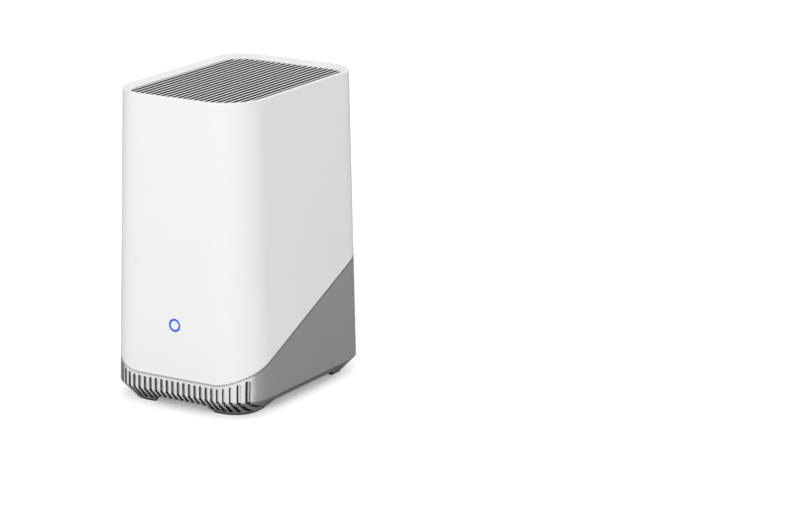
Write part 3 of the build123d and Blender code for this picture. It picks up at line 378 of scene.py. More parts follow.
class Surface(Tree):
    """Nodes of one material, round its shader."""

    def __init__(self, tree: NodeTree, colour: Colour, roughness: float) -> None:
        """Starts the material with a plain shader on the piece's own coordinates.

        Args:
            tree: The material's tree.
            colour: Its base colour.
            roughness: Its roughness.
        """
        super().__init__(tree)
        tree.nodes.clear()
        self.shader = self.add("ShaderNodeBsdfPrincipled", {"Base Color": (*colour, 1.0),
                                                            "Roughness": roughness})
        self.place = self.add("ShaderNodeTexCoord").outputs["Object"]
        self.add("ShaderNodeOutputMaterial", {"Surface": self.shader.outputs[0]})

    def put(self, name: str, value: Any) -> None:
        """Feeds or sets one of the shader's inputs."""
        self.feed(self.shader.inputs[name], value)

    def paint(self) -> NodeSocket:
        """Gives what feeds the base colour so far."""
        return self.shader.inputs["Base Color"].links[0].from_socket

    def effect(self, effect: Effect, inputs: Sockets) -> Any:
        """Places an effect on the piece's own coordinates and gives its outputs."""
        inputs = {"Vector": self.place, **inputs}
        return self.add("ShaderNodeGroup", inputs, node_tree=effect.group()).outputs

    def tint(self, colour: Colour, tone: Any, amount: float) -> NodeSocket:
        """Gives a colour, varied by a tone."""
        inputs = {"Color": (*colour, 1.0), "Tone": tone, "Amount": amount}
        return self.add("ShaderNodeGroup", inputs, node_tree=Tint().group()).outputs["Color"]

    def inside(self, low: Triple, high: Triple) -> NodeSocket:
        """Gives one inside a box and nought outside it.

        Args:
            low: The box's corner of least values.
            high: The opposite corner.

        Returns:
            The mask.
        """
        part = self.split(self.vector("MINIMUM", self.vector("SUBTRACT", self.place, low),
                                      self.vector("SUBTRACT", high, self.place)))
        nearest = self.math("MINIMUM", self.math("MINIMUM", part[0], part[1]), part[2])
        return self.math("GREATER_THAN", nearest, 0.0)

    def vary(self, finish: "Finish", tone: Any, amount: float, *span: float) -> None:
        """Varies a finish's colour and roughness by a tone.

        Args:
            finish: The finish.
            tone: The tone.
            amount: Share of the colour that it changes.
            span: The tone's range, and the changes of roughness at its ends.
        """
        low, high, duller, glossier = span
        self.put("Base Color", self.tint(finish.colour, tone, amount))
        self.put("Roughness", self.remap(tone, low, high, finish.roughness + duller,
                                         finish.roughness + glossier))

    def relief(self, height: Any, strength: float, depth: float) -> None:
        """Feeds a height through a bump to the shader's normal."""
        inputs = {"Height": height, "Strength": strength, "Distance": depth}
        self.put("Normal", self.add("ShaderNodeBump", inputs).outputs[0])


@dataclass(frozen=True)
class Finish:
    """One surface finish, which becomes a material with its own name."""

    name: str
    colour: Colour
    roughness: float = 0.45

    def material(self) -> Material:
        """Gives the material, which it makes the first time.

        Returns:
            The material.
        """
        if self.name in bpy.data.materials:
            return bpy.data.materials[self.name]
        made = bpy.data.materials.new(self.name)
        made.use_nodes = True
        self.dress(Surface(made.node_tree, self.colour, self.roughness))
        return made

    def dress(self, surface: Surface) -> None:
        """Adds what this finish has beyond its colour and roughness."""


@dataclass(frozen=True)
class Moulded(Finish):
    """Moulded plastic with a spark-eroded or satin grain."""

    grain: float = 5200.0
    depth: float = 0.012 * MM
    strength: float = 0.35
    mottle: float = 0.03
    gloss: tuple[float, ...] = (0.3, 0.7, -0.05, 0.05)

    def dress(self, surface: Surface) -> None:
        """Adds the grain, and an unevenness of tone and gloss that follows it.

        Args:
            surface: The material's nodes.
        """
        grain = surface.effect(Grain(), {"Scale": self.grain})
        surface.vary(self, grain["Tone"], self.mottle, *self.gloss)
        surface.relief(grain["Height"], self.strength, self.depth)


@dataclass(frozen=True)
class Painted(Finish):
    """Silver paint with fine flakes in it."""

    metallic: float = 0.85
    flakes: float = 7000.0
    spark: float = 0.16
    gloss: tuple[float, ...] = (0.0, 1.0, -0.06, 0.06)
    tilt: float = 0.12
    depth: float = 0.004 * MM

    def dress(self, surface: Surface) -> None:
        """Adds the flakes, which vary colour, gloss and tilt.

        Args:
            surface: The material's nodes.
        """
        flakes = surface.effect(Flakes(), {"Scale": self.flakes})
        surface.put("Metallic", self.metallic)
        surface.vary(self, flakes["Spark"], self.spark, *self.gloss)
        surface.relief(flakes["Height"], self.tilt, self.depth)


@dataclass(frozen=True)
class RibShadedPaint(Painted):
    """Silver paint, with painted shade on what lies deeper than its outer surface, such as the
    rib slots, and in a line under the seam.
    """

    pitch: float = 3.7 * MM
    slot: float = 1.95 * MM
    slot_depth: float = 1.5 * MM
    floor_band: float = 0.2 * MM
    floor_shade: float = 0.25
    corner_shade: float = 0.0
    corner_reach: float = 8 * MM
    wall_shade: float = 0.9
    wall_span: tuple[float, float] = (0.42, 0.49)
    skin: tuple[float, float] = (0.2 * MM, 0.45 * MM)
    seam_shade: float = 0.45
    seam_line: float = 0.9 * MM

    def skin_depth(self, surface: Surface) -> NodeSocket:
        """Measures the depth under the housing's outer surface.

        Args:
            surface: The material's nodes.

        Returns:
            The depth, in metres.
        """
        part, rise = surface.split(surface.place), FORM.height - FORM.bend
        rear = surface.math("GREATER_THAN", part[1], 0.0)
        above = surface.math("MAXIMUM", surface.math("SUBTRACT", part[2], FORM.bend), 0.0)
        corner = surface.math("MULTIPLY_ADD", rear, FORM.rear_radius - FORM.front_radius,
                              FORM.front_radius)
        back = surface.math("MULTIPLY", above, FORM.rear_taper / rise)
        leant = (surface.math("MULTIPLY", above, FORM.side_taper / rise),
                 surface.math("MULTIPLY", back, rear))
        sides = []
        for axis, size in enumerate((FORM.half_width, FORM.half_depth)):
            half = surface.math("SUBTRACT", size, leant[axis])
            straight = surface.math("SUBTRACT", half, corner)
            away = surface.math("ABSOLUTE", part[axis])
            sides.append(surface.math("SUBTRACT", away, straight))
        past = (surface.math("MAXIMUM", side, 0.0) for side in sides)
        inside = surface.math("MINIMUM", surface.math("MAXIMUM", *sides), 0.0)
        gone = surface.math("ADD", surface.length(surface.join(*past)), inside)
        slope = surface.math("MAXIMUM", surface.math("SUBTRACT", FORM.bend, part[2]), 0.0)
        return surface.math("SUBTRACT", surface.math("SUBTRACT", corner, gone), slope)

    def below_seam(self, surface: Surface) -> NodeSocket:
        """Measures the distance below the slanted seam, whose front end is an arc.

        Args:
            surface: The material's nodes.

        Returns:
            The distance, in metres.
        """
        end, middle, low = FORM.seam_arc()
        part = surface.split(surface.place)
        along = surface.math("SUBTRACT", part[1], end)
        line = surface.math("MULTIPLY_ADD", along, math.tan(FORM.seam_slope), FORM.seam(end))
        off = surface.math("SUBTRACT", part[1], middle)
        left = surface.math("SUBTRACT", FORM.seam_radius ** 2, surface.math("MULTIPLY", off, off))
        root = surface.math("SQRT", surface.math("MAXIMUM", left, 0.0))
        arc = surface.math("ADD", root, low)
        on_line = surface.math("GREATER_THAN", along, 0.0)
        seam = surface.math("MULTIPLY_ADD", on_line, surface.math("SUBTRACT", line, arc), arc)
        return surface.math("SUBTRACT", seam, part[2])

    def dress(self, surface: Surface) -> None:
        """Adds the paint, with painted shade on what lies under the outer surface and in a line
        just under the seam.

        Args:
            surface: The material's nodes.
        """
        super().dress(surface)
        # Painted shade on what lies deeper than the outer surface: the slot walls and the inside
        # darken most, the slot floors on the flats less, and the slot floors round the corners
        # not at all.
        depth = self.skin_depth(surface)
        across = surface.math("ABSOLUTE", surface.split(surface.place)[0])
        turn = surface.math("FRACT", surface.math("DIVIDE", across, self.pitch))
        off = surface.math("ABSOLUTE", surface.math("SUBTRACT", turn, 0.5))
        near = surface.math("MULTIPLY", off, self.pitch / self.slot)
        wall = surface.remap(near, *self.wall_span, 0.0, 1.0)
        straight = FORM.half_width - FORM.front_radius
        floor = surface.remap(across, straight, straight + self.corner_reach, self.floor_shade,
                              self.corner_shade)
        floor = surface.math("MULTIPLY_ADD", wall,
                             surface.math("SUBTRACT", self.wall_shade, floor), floor)
        on_floor = surface.math("COMPARE", depth, self.slot_depth, self.floor_band)
        shade = surface.math("MULTIPLY_ADD", on_floor,
                             surface.math("SUBTRACT", floor, self.wall_shade), self.wall_shade)
        deep = surface.remap(depth, *self.skin, 0.0, 1.0)
        # Painted shade: a dark line just under the seam, where the gap between shell and skirt
        # lies.
        lit = surface.remap(self.below_seam(surface), self.seam_line / 2, self.seam_line,
                            1 - self.seam_shade, 1.0)
        left = surface.math("SUBTRACT", 1.0, surface.math("MULTIPLY", shade, deep))
        light = surface.math("MULTIPLY", left, lit)
        surface.put("Base Color", surface.scaled(surface.paint(), light))


@dataclass(frozen=True)
class GapShadedPaint(Painted):
    """Silver paint on the slats' tops, with black below the tops and along the slats' edges as
    painted shade in the gaps.
    """

    top: float = 175.5 * MM
    reach: float = 0.04 * MM
    fade: float = 0.02 * MM
    pitch: float = 3.55 * MM
    slot: float = 1.7 * MM
    # Width of the painted shade along each slat's edge.
    margin: float = 0.32 * MM
    sheen: float = 0.05
    # Black of the painted shade in the gaps between the slats.
    under: Colour = (0.012, 0.012, 0.013)

    def dress(self, surface: Surface) -> None:
        """Adds the paint, and black painted shade below the top and along the slats' edges.

        Args:
            surface: The material's nodes.
        """
        super().dress(surface)
        part = surface.split(surface.place)
        # Painted shade: black below the slats' tops and in a strip along each slat's edge, in the
        # gaps.
        start = self.top - self.reach
        high = surface.remap(part[2], start - self.fade, start, 0.0, 1.0)
        off = surface.math("PINGPONG", part[0], self.pitch / 2)
        edge = self.slot / 2 + self.margin
        slat = surface.remap(off, edge - self.fade, edge, 0.0, 1.0)
        mask = surface.math("MULTIPLY", high, slat)
        surface.put("Base Color", surface.blend(mask, (*self.under, 1.0), surface.paint()))
        surface.put("Metallic", surface.math("MULTIPLY", mask, self.metallic))
        surface.put("Specular IOR Level", self.sheen)


@dataclass(frozen=True)
class Sheet(Finish):
    """Rolled sheet, plated steel or machined aluminium."""

    stretch: Triple = (4000.0, 4000.0, 120.0)
    metallic: float = 1.0
    lines: float = 0.25
    gloss: tuple[float, ...] = (0.3, 0.7, -0.08, 0.1)
    groove: float = 0.2
    depth: float = 0.01 * MM

    def dress(self, surface: Surface) -> None:
        """Adds the rolling lines.

        Args:
            surface: The material's nodes.
        """
        lines = surface.effect(Brushed(), {"Stretch": self.stretch})
        surface.put("Metallic", self.metallic)
        surface.vary(self, lines["Tone"], self.lines, *self.gloss)
        surface.relief(lines["Height"], self.groove, self.depth)


@dataclass(frozen=True)
class LinedSheet(Sheet):
    """Plated socket shells with black moulded plastic inside."""

    lining: Colour = (0.016, 0.016, 0.017)
    network_low: Triple = (-4.5 * MM, 50.0 * MM, 29.2 * MM)
    network_high: Triple = (4.1 * MM, 63.0 * MM, 41.8 * MM)
    tongue_low: Triple = (-4.85 * MM, 50.0 * MM, 47.4 * MM)
    tongue_high: Triple = (-2.85 * MM, 63.1 * MM, 58.6 * MM)

    def dress(self, surface: Surface) -> None:
        """Adds the plating, and lines the network opening and the USB tongue.

        Args:
            surface: The material's nodes.
        """
        super().dress(surface)
        lined = surface.math("MAXIMUM",
                             surface.inside(self.network_low, self.network_high),
                             surface.inside(self.tongue_low, self.tongue_high))
        surface.put("Base Color", surface.blend(lined, surface.paint(), (*self.lining, 1.0)))
        surface.put("Metallic", surface.remap(lined, 0.0, 1.0, self.metallic, 0.0))


@dataclass(frozen=True)
class Board(Finish):
    """Circuit board with tracks under its solder mask."""

    track: Colour = (0.02, 0.17, 0.08)
    pad: Colour = (0.72, 0.66, 0.42)
    track_scale: float = 170.0
    bands: float = 5.0
    track_share: float = 0.35
    pad_scale: float = 260.0
    pad_size: float = 0.13
    plating: float = 0.9
    rise: float = 0.3
    depth: float = 0.03 * MM

    def dress(self, surface: Surface) -> None:
        """Adds the tracks and the plated pads.

        Args:
            surface: The material's nodes.
        """
        part = surface.split(surface.place)
        flat = surface.join(surface.math("ADD", part[0], part[1]), part[2])
        cells = surface.cells(flat, self.track_scale, distance="MANHATTAN")
        bands = surface.math("FRACT", surface.math("MULTIPLY", cells["Distance"], self.bands))
        tracks = surface.math("LESS_THAN", bands, self.track_share)
        dots = surface.cells(flat, self.pad_scale)
        pads = surface.math("LESS_THAN", dots["Distance"], self.pad_size)
        masked = surface.blend(tracks, (*self.colour, 1.0), (*self.track, 1.0))
        surface.put("Base Color", surface.blend(pads, masked, (*self.pad, 1.0)))
        surface.put("Metallic", surface.math("MULTIPLY", pads, self.plating))
        surface.relief(tracks, self.rise, self.depth)


@dataclass(frozen=True)
class Wound(Finish):
    """Enamelled wire, wound in rings."""

    pitch: float = 0.3 * MM
    shade: float = 0.7
    groove: float = 0.6
    depth: float = 0.08 * MM

    def dress(self, surface: Surface) -> None:
        """Adds the turns of the wire, with painted shade between them.

        Args:
            surface: The material's nodes.
        """
        surface.put("Metallic", 1.0)
        height = surface.split(surface.place)[2]
        turns = surface.math("SINE", surface.math("MULTIPLY", height, 2 * math.pi / self.pitch))
        # Painted shade: the colour is darker where the turns dip and lighter where they rise.
        tone = surface.remap(turns, -1.0, 1.0, 0.0, 1.0)
        surface.put("Base Color", surface.tint(self.colour, tone, self.shade))
        surface.relief(turns, self.groove, self.depth)


@dataclass(frozen=True)
class Glow(Finish):
    """Clear moulded ring, lit from behind."""

    light: Colour = (0.0, 0.09, 1.0)
    strength: float = 1.0
    spots: float = 260.0
    spot_detail: float = 1.0
    swing: float = 0.2

    def dress(self, surface: Surface) -> None:
        """Adds the light, a little uneven between the lamps.

        Args:
            surface: The material's nodes.
        """
        spots = surface.noise(surface.place, self.spots, self.spot_detail)
        surface.put("Emission Color", surface.tint(self.light, spots, self.swing))
        surface.put("Emission Strength", self.strength)
        surface.put("Specular IOR Level", 0.0)


class Slot(Enum):
    """Material slots of the record, each with its finish."""

    shell_white = Moulded("satin_white", (0.80, 0.80, 0.805), 0.36, grain=4200.0, strength=0.12,
                          mottle=0.012)
    grille_silver = GapShadedPaint("grille_paint", (0.76, 0.76, 0.77), 0.55, metallic=0.06)
    skirt_silver = RibShadedPaint("skirt_paint", (0.78, 0.78, 0.785), 0.34, metallic=0.85, spark=0.1)
    plate_grey = Moulded("plate_plastic", (0.055, 0.055, 0.058), 0.6, grain=3000.0, strength=0.7)
    pad_rubber = Moulded("foot_rubber", (0.022, 0.022, 0.022), 0.8, grain=2400.0, strength=0.5)
    chassis_black = Moulded("chassis_plastic", (0.02, 0.02, 0.022), 0.6, strength=0.5)
    screw_steel = Sheet("plated_screws", (0.62, 0.61, 0.58), 0.3, stretch=(1500.0, 1500.0, 300.0))
    tray_steel = Sheet("rolled_steel", (0.55, 0.55, 0.56), 0.34)
    board_green = Board("solder_mask", (0.008, 0.085, 0.04), 0.3)
    chip_black = Moulded("chip_epoxy", (0.015, 0.015, 0.016), 0.5, grain=9000.0)
    pad_grey = Moulded("thermal_silicone", (0.32, 0.35, 0.39), 0.7, mottle=0.15)
    sink_aluminium = Sheet("cast_aluminium", (0.66, 0.67, 0.68), 0.4,
                           stretch=(900.0, 900.0, 900.0))
    can_steel = Sheet("tin_plate", (0.72, 0.72, 0.69), 0.28)
    socket_black = Moulded("socket_plastic", (0.016, 0.016, 0.017), 0.42)
    socket_steel = LinedSheet("plated_socket", (0.68, 0.68, 0.66), 0.25)
    button_grey = Moulded("button_plastic", (0.30, 0.30, 0.31), 0.4)
    fan_black = Moulded("fan_plastic", (0.014, 0.014, 0.015), 0.38)
    coil_copper = Wound("enamelled_wire", (0.62, 0.27, 0.12), 0.3)
    cone_black = Moulded("pressed_pulp", (0.02, 0.02, 0.02), 0.9, grain=1500.0, strength=0.9)
    gasket_foam = Moulded("closed_foam", (0.04, 0.04, 0.04), 0.95, grain=1800.0, strength=1.0)
    magnet_steel = Sheet("magnet_plating", (0.42, 0.42, 0.43), 0.3)
    light_blue = Glow("lit_ring", (0.0, 0.02, 0.12), 0.4)
    lamp_yellow = Moulded("lamp_package", (0.75, 0.68, 0.28), 0.3)
    cable_black = Moulded("cable_sleeve", (0.02, 0.02, 0.02), 0.5)
    coax_grey = Moulded("coax_sleeve", (0.25, 0.25, 0.26), 0.45)
    ribbon_white = Sheet("ribbon_strip", (0.80, 0.80, 0.78), 0.4, stretch=(50.0, 1800.0, 50.0),
                         metallic=0.0)


def link_mesh(name: str, bm: BMesh) -> Object:
    """Puts a bmesh into the scene as a new object.

    Args:
        name: Name of the object and its mesh.
        bm: The mesh, in place in the row frame. It is freed.

    Returns:
        The object.
    """
    mesh = bpy.data.meshes.new(name)
    bm.to_mesh(mesh)
    bm.free()
    made = bpy.data.objects.new(name, mesh)
    bpy.context.scene.collection.objects.link(made)
    return made


def smooth(piece: Object) -> None:
    """Shades a piece smooth between its sharp edges."""
    piece.data.shade_smooth()
    piece.data.set_sharp_from_angle(angle=SHARP_EDGE)


def finish_piece(name: str, bm: BMesh, body: str, slot: Slot, node: str
                 ) -> Object:
    """Turns a bmesh into a piece that stands for a CAD node.

    Args:
        name: Name of the piece.
        bm: The mesh, in place in the row frame. It is freed.
        body: The body that the piece rides on.
        slot: The finish that it takes.
        node: The CAD node that it replaces.

    Returns:
        The piece.
    """
    piece = link_mesh(name, bm)
    smooth(piece)
    shading = piece.modifiers.new("shading", "WEIGHTED_NORMAL")
    shading.mode, shading.keep_sharp = "FACE_AREA_WITH_ANGLE", True
    piece.data.materials.append(slot.value.material())
    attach(piece, body)
    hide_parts(node)
    return piece


def plan_ring(bm: BMesh, segments: int) -> list[BMEdge]:
    """Starts a mesh with the housing's plan outline, flat on the floor.

    Args:
        bm: The mesh to start.
        segments: Segments of each round corner.

    Returns:
        The outline's edges.
    """
    made = bmesh.ops.create_grid(bm, x_segments=1, y_segments=1, size=1.0)
    bmesh.ops.scale(bm, verts=made["verts"], vec=(FORM.half_width, FORM.half_depth, 1.0))
    for forward, radius in ((True, FORM.front_radius), (False, FORM.rear_radius)):
        corners = [v for v in bm.verts if (v.co.y < 0) == forward]
        bmesh.ops.bevel(bm, geom=corners, offset=radius, segments=segments, profile=0.5,
                        affect="VERTICES", material=-1)
    bmesh.ops.delete(bm, geom=list(bm.faces), context="FACES_ONLY")
    return list(bm.edges)


def raise_levels(bm: BMesh, ring: Sequence[BMEdge], count: int) -> None:
    """Extrudes a ring upwards, one metre a level, and closes the last level to the first.

    Args:
        bm: The mesh.
        ring: The ring's edges.
        count: Number of levels, with the ring's own.
    """
    edges = list(ring)
    for _ in range(count - 1):
        made = bmesh.ops.extrude_edge_only(bm, edges=edges)["geom"]
        verts = [g for g in made if isinstance(g, BMVert)]
        bmesh.ops.translate(bm, verts=verts, vec=(0, 0, 1))
        edges = [g for g in made if isinstance(g, BMEdge)
                 and abs(g.verts[0].co.z - g.verts[1].co.z) < 0.5]
    bmesh.ops.bridge_loops(bm, edges=list(ring) + edges)


@dataclass
class OuterShell:
    """White upper shell: a tapered wall with a rounded lip round the grille's recess."""

    wall: float = 2.4 * MM
    lip_round: float = 0.7 * MM
    lip_steps: int = 5
    land: float = 0.8 * MM
    recess: float = 2.5 * MM
    inset: float = 4.6 * MM
    seat: float = 1.6 * MM
    gap: float = 0.25 * MM
    edge: float = 0.25 * MM
    corner_segments: int = 24
    light_height: float = 49.6 * MM
    light_hole: float = 3.8 * MM
    hole_segments: int = 48
    post_x: float = 38.79 * MM
    post_y: float = 30.0 * MM
    post_low: float = 152.0 * MM
    post_height: float = 14.0 * MM
    post_radius: float = 3.5 * MM
    post_hole: float = 1.45 * MM
    post_segments: int = 40
    name: str = "shell"

    def levels(self) -> list[tuple[float | None, float, float]]:
        """Gives the section as a list of levels.

        Returns:
            Each level's height, its offset above the seam where the height is None, and
            how far it is drawn in.
        """
        top, seat = FORM.height, FORM.height - self.recess - self.seat
        inner = self.lip_round + self.land
        turns = [math.pi / 2 * i / self.lip_steps for i in range(self.lip_steps + 1)]
        lip = [(top - self.lip_round * (1 - math.sin(turn)), 0.0,
                self.lip_round * (1 - math.cos(turn))) for turn in turns]
        return [(None, self.gap, self.edge), (None, self.gap + self.edge, 0.0), *lip,
                (top, 0.0, inner), (top - self.edge, 0.0, inner + self.edge),
                (top - self.recess, 0.0, self.inset), (seat, 0.0, self.inset),
                (seat, 0.0, self.wall), (None, self.gap, self.wall)]

    def build(self) -> list[Object]:
        """Models the shell with its screw posts and cuts the light's hole.

        Returns:
            The shell, as the only piece.
        """
        bm = bmesh.new()
        ring = plan_ring(bm, self.corner_segments)
        rows = self.levels()
        raise_levels(bm, ring, len(rows))
        for vert in bm.verts:
            height, offset, inset = rows[round(vert.co.z)]
            x, y = vert.co.x, vert.co.y
            vert.co = FORM.place(x, y, FORM.seam(y) + offset if height is None else height, inset)
        bmesh.ops.recalc_face_normals(bm, faces=list(bm.faces))
        self.cut_light_hole(bm)
        for x in (-self.post_x, self.post_x):
            for y in (-self.post_y, self.post_y):
                self.add_post(bm, Vector((x, y, 0)))
        return [finish_piece(self.name, bm, "housing", Slot.shell_white, "outer_shell")]

    def add_post(self, bm: BMesh, foot: Vector) -> None:
        """Turns one screw post and adds it to the shell.

        Args:
            bm: The shell's mesh.
            foot: The floor under the post's axis.
        """
        low, high = self.post_low, self.post_low + self.post_height
        hole, radius, edge = self.post_hole, self.post_radius, self.edge
        profile = ((0.0, high - self.wall), (hole, high - self.wall), (hole, low),
                   (radius - edge, low), (radius, low + edge), (radius, high - edge),
                   (radius - edge, high), (0.0, high))
        post = bmesh.new()
        verts = [post.verts.new(foot + Vector((out, 0, z))) for out, z in profile]
        edges = [post.edges.new(pair) for pair in zip(verts, verts[1:])]
        bmesh.ops.spin(post, geom=verts + edges, cent=foot, axis=(0, 0, 1), angle=2 * math.pi,
                       steps=self.post_segments, use_merge=True)
        bmesh.ops.remove_doubles(post, verts=list(post.verts), dist=HAIR)
        bmesh.ops.recalc_face_normals(post, faces=list(post.faces))
        turned = bpy.data.meshes.new("post")
        post.to_mesh(turned)
        post.free()
        bm.from_mesh(turned)
        bpy.data.meshes.remove(turned)

    def cut_light_hole(self, bm: BMesh) -> None:
        """Cuts the hole for the status light through the front wall, with a boolean.

        Args:
            bm: The shell's mesh, which the cut one takes the place of.
        """
        cutter = bmesh.new()
        bmesh.ops.create_cone(cutter, cap_ends=True, segments=self.hole_segments,
                              radius1=self.light_hole, radius2=self.light_hole,
                              depth=6 * self.wall)
        lay = (Matrix.Translation((0, -FORM.half_depth, self.light_height))
               @ Matrix.Rotation(math.pi / 2, 4, "X"))
        bmesh.ops.transform(cutter, verts=list(cutter.verts), matrix=lay)
        hole, shell = link_mesh("hole", cutter), link_mesh("uncut", bm.copy())
        cut = shell.modifiers.new("hole", "BOOLEAN")
        cut.operation, cut.object, cut.solver = "DIFFERENCE", hole, "EXACT"
        evaluated = shell.evaluated_get(bpy.context.evaluated_depsgraph_get())
        result = bpy.data.meshes.new_from_object(evaluated)
        bm.clear()
        bm.from_mesh(result)
        for mesh in (hole.data, shell.data, result):
            bpy.data.meshes.remove(mesh)


@dataclass
class EasedCopy:
    """A CAD node's form with smooth curves and eased edges, which catch the light."""

    node: str
    body: str
    slot: Slot
    edge: float = 0.15 * MM
    steps: int = 2
    flat: float = math.radians(0.6)
    turn: float = math.radians(28.0)

    def build(self) -> Object:
        """Merges a copy of the node, joins its flat faces and bevels its sharp edges.

        Returns:
            The piece.
        """
        bm = bmesh.new()
        bm.from_mesh(frame["nodes"][self.node].data)
        bmesh.ops.remove_doubles(bm, verts=list(bm.verts), dist=HAIR)
        bmesh.ops.dissolve_limit(bm, angle_limit=self.flat, verts=list(bm.verts),
                                 edges=list(bm.edges))
        edges = [e for e in bm.edges if e.is_manifold and e.calc_face_angle(0.0) > self.turn]
        if self.edge:
            bmesh.ops.bevel(bm, geom=edges, offset=self.edge, segments=self.steps, profile=0.5,
                            affect="EDGES", clamp_overlap=False, material=-1)
        return finish_piece(self.node + "_form", bm, self.body, self.slot, self.node)


@dataclass
class SubAssembly:
    """Nodes that belong together, each row after the width of its eased edges, in mm."""

    eases: Eases

    def build(self) -> list[Object]:
        """Builds each node's eased copy on the body that carries it.

        Returns:
            The pieces.
        """
        slots = {row["node"]: row["material_slot"] for row in frame["record"]["subparts"]}
        carriers = {node: body for body, nodes in frame["record"]["behaviour"]["bodies"].items()
                    for node in nodes}
        return [EasedCopy(node, carriers[node], Slot[slots[node]], width * MM).build()
                for width, *nodes in self.eases for node in nodes]


@dataclass
class RibbedSkirt(SubAssembly):
    """Grey skirt with its rib slots, and the silver grille that closes the top."""

    eases: Eases = ((0.14, "base_shell"), (0.06, "top_grille"))


@dataclass
class Underside(SubAssembly):
    """Base plate with its vents, foot pads and the screws that hold the housing."""

    eases: Eases = (
        (0.2, "base_plate", "bay_cover", "foot_pad_front_left", "foot_pad_front_right",
         "foot_pad_rear_left", "foot_pad_rear_right"),
        (0.25, "base_screws", "shell_screws", "cover_screw"))


@dataclass
class StatusLight(SubAssembly):
    """Lit ring round a white disc, with its lamps behind it."""

    eases: Eases = ((0.12, "light_guide"), (0.25, "light_cap"), (0.1, "light_board", "leds"),
                    (0.0, "light_lead"))


@dataclass(frozen=True)
class ContactRow:
    """A row of bowed spring contacts inside a socket, one above another."""

    name: str
    count: int
    pitch: float
    middle: float
    face: float
    ends: tuple[float, float]
    width: float
    bow: float
    bow_reach: float = 1.15
    thickness: float = 0.12 * MM
    segments: int = 12
    gold: Sheet = Sheet("gold_plating", (0.95, 0.66, 0.24), 0.22)

    def build(self) -> Object:
        """Models the row.

        Returns:
            The piece.
        """
        bm = bmesh.new()
        start, end = self.ends
        for index in range(self.count):
            height = self.middle + (index - (self.count - 1) / 2) * self.pitch
            strip = bmesh.ops.create_grid(bm, x_segments=self.segments, y_segments=1, size=1.0)
            for vert in strip["verts"]:
                share = (vert.co.x + 1) / 2
                out = self.bow * math.sin(math.pi * min(share * self.bow_reach, 1.0))
                vert.co = Vector((self.face + out, start + share * (end - start),
                                  height + vert.co.y * self.width / 2))
        bmesh.ops.solidify(bm, geom=list(bm.faces), thickness=self.thickness)
        bmesh.ops.recalc_face_normals(bm, faces=list(bm.faces))
        piece = link_mesh(self.name, bm)
        smooth(piece)
        piece.data.materials.append(self.gold.material())
        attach(piece, "housing")
        return piece


@dataclass
class RearPorts(SubAssembly):
    """Sockets and button of the rear wall, with the spring contacts inside them."""

    eases: Eases = (
        (0.25, "lan_jack", "usb_socket"), (0.3, "power_inlet"),
        (0.35, "sync_button"), (0.15, "button_switch", "switch_plunger"))
    network: ContactRow = ContactRow("network_contacts", 8, 1.02 * MM, 35.5 * MM, -4.1 * MM,
                                     (51.8 * MM, 61.0 * MM), 0.45 * MM, 1.6 * MM)
    usb: ContactRow = ContactRow("usb_contacts", 4, 2.3 * MM, 53.0 * MM, -2.92 * MM,
                                 (54.6 * MM, 61.6 * MM), 1.0 * MM, 0.1 * MM)

    def build(self) -> list[Object]:
        """Builds the sockets, then their contacts."""
        return [*super().build(), self.network.build(), self.usb.build()]


@dataclass
class DriveBay(SubAssembly):
    """Tray with its drive, which slides out below, and the board that it plugs into."""

    eases: Eases = (
        (0.2, "drive_tray"), (0.4, "drive_case"), (0.2, "drive_lid"),
        (0.08, "drive_board", "tray_screws"), (0.15, "sata_connector"),
        (0.08, "sata_board"), (0.0, "sata_ribbon"))


@dataclass
class Electronics(SubAssembly):
    """Chassis, main board and what stands on it, and the two antennas."""

    eases: Eases = (
        (0.0, "chassis"), (0.08, "main_board"), (0.2, "board_screws"),
        (0.1, "processor", "memory_chips", "thermal_pad"),
        (0.15, "heat_sink", "sink_screws", "network_shield", "camera_radio_shield"),
        (0.08, "antenna_left", "antenna_right"),
        (0.0, "antenna_lead_left", "antenna_lead_right"))


@dataclass
class CoolingFan(SubAssembly):
    """Fan under the grille: frame, windings and the turning rotor."""

    eases: Eases = (
        (0.2, "fan_frame"), (0.1, "fan_stator"), (0.15, "fan_rotor"),
        (0.2, "fan_screws"), (0.0, "fan_lead"))


@dataclass
class Speaker(SubAssembly):
    """Speaker that sounds through the base plate."""

    eases: Eases = (
        (0.1, "speaker_gasket"), (0.2, "speaker_frame", "speaker_magnet"),
        (0.1, "speaker_cone"), (0.0, "speaker_lead"))


@dataclass(frozen=True)
class Lamp:
    """A square soft lamp, with its place, the length of its side and its power in watts."""

    name: str
    place: Triple
    size: float
    power: float

    def build(self) -> None:
        """Hangs the lamp so that it faces the middle of the object."""
        data = bpy.data.lights.new(self.name, "AREA")
        data.shape, data.size, data.energy = "SQUARE", self.size, self.power
        lamp = bpy.data.objects.new(self.name, data)
        bpy.context.scene.collection.objects.link(lamp)
        lamp.location = self.place
        aim = Vector((0, 0, FORM.height / 2)) - Vector(self.place)
        lamp.rotation_mode = "QUATERNION"
        lamp.rotation_quaternion = aim.to_track_quat("-Z", "Y")


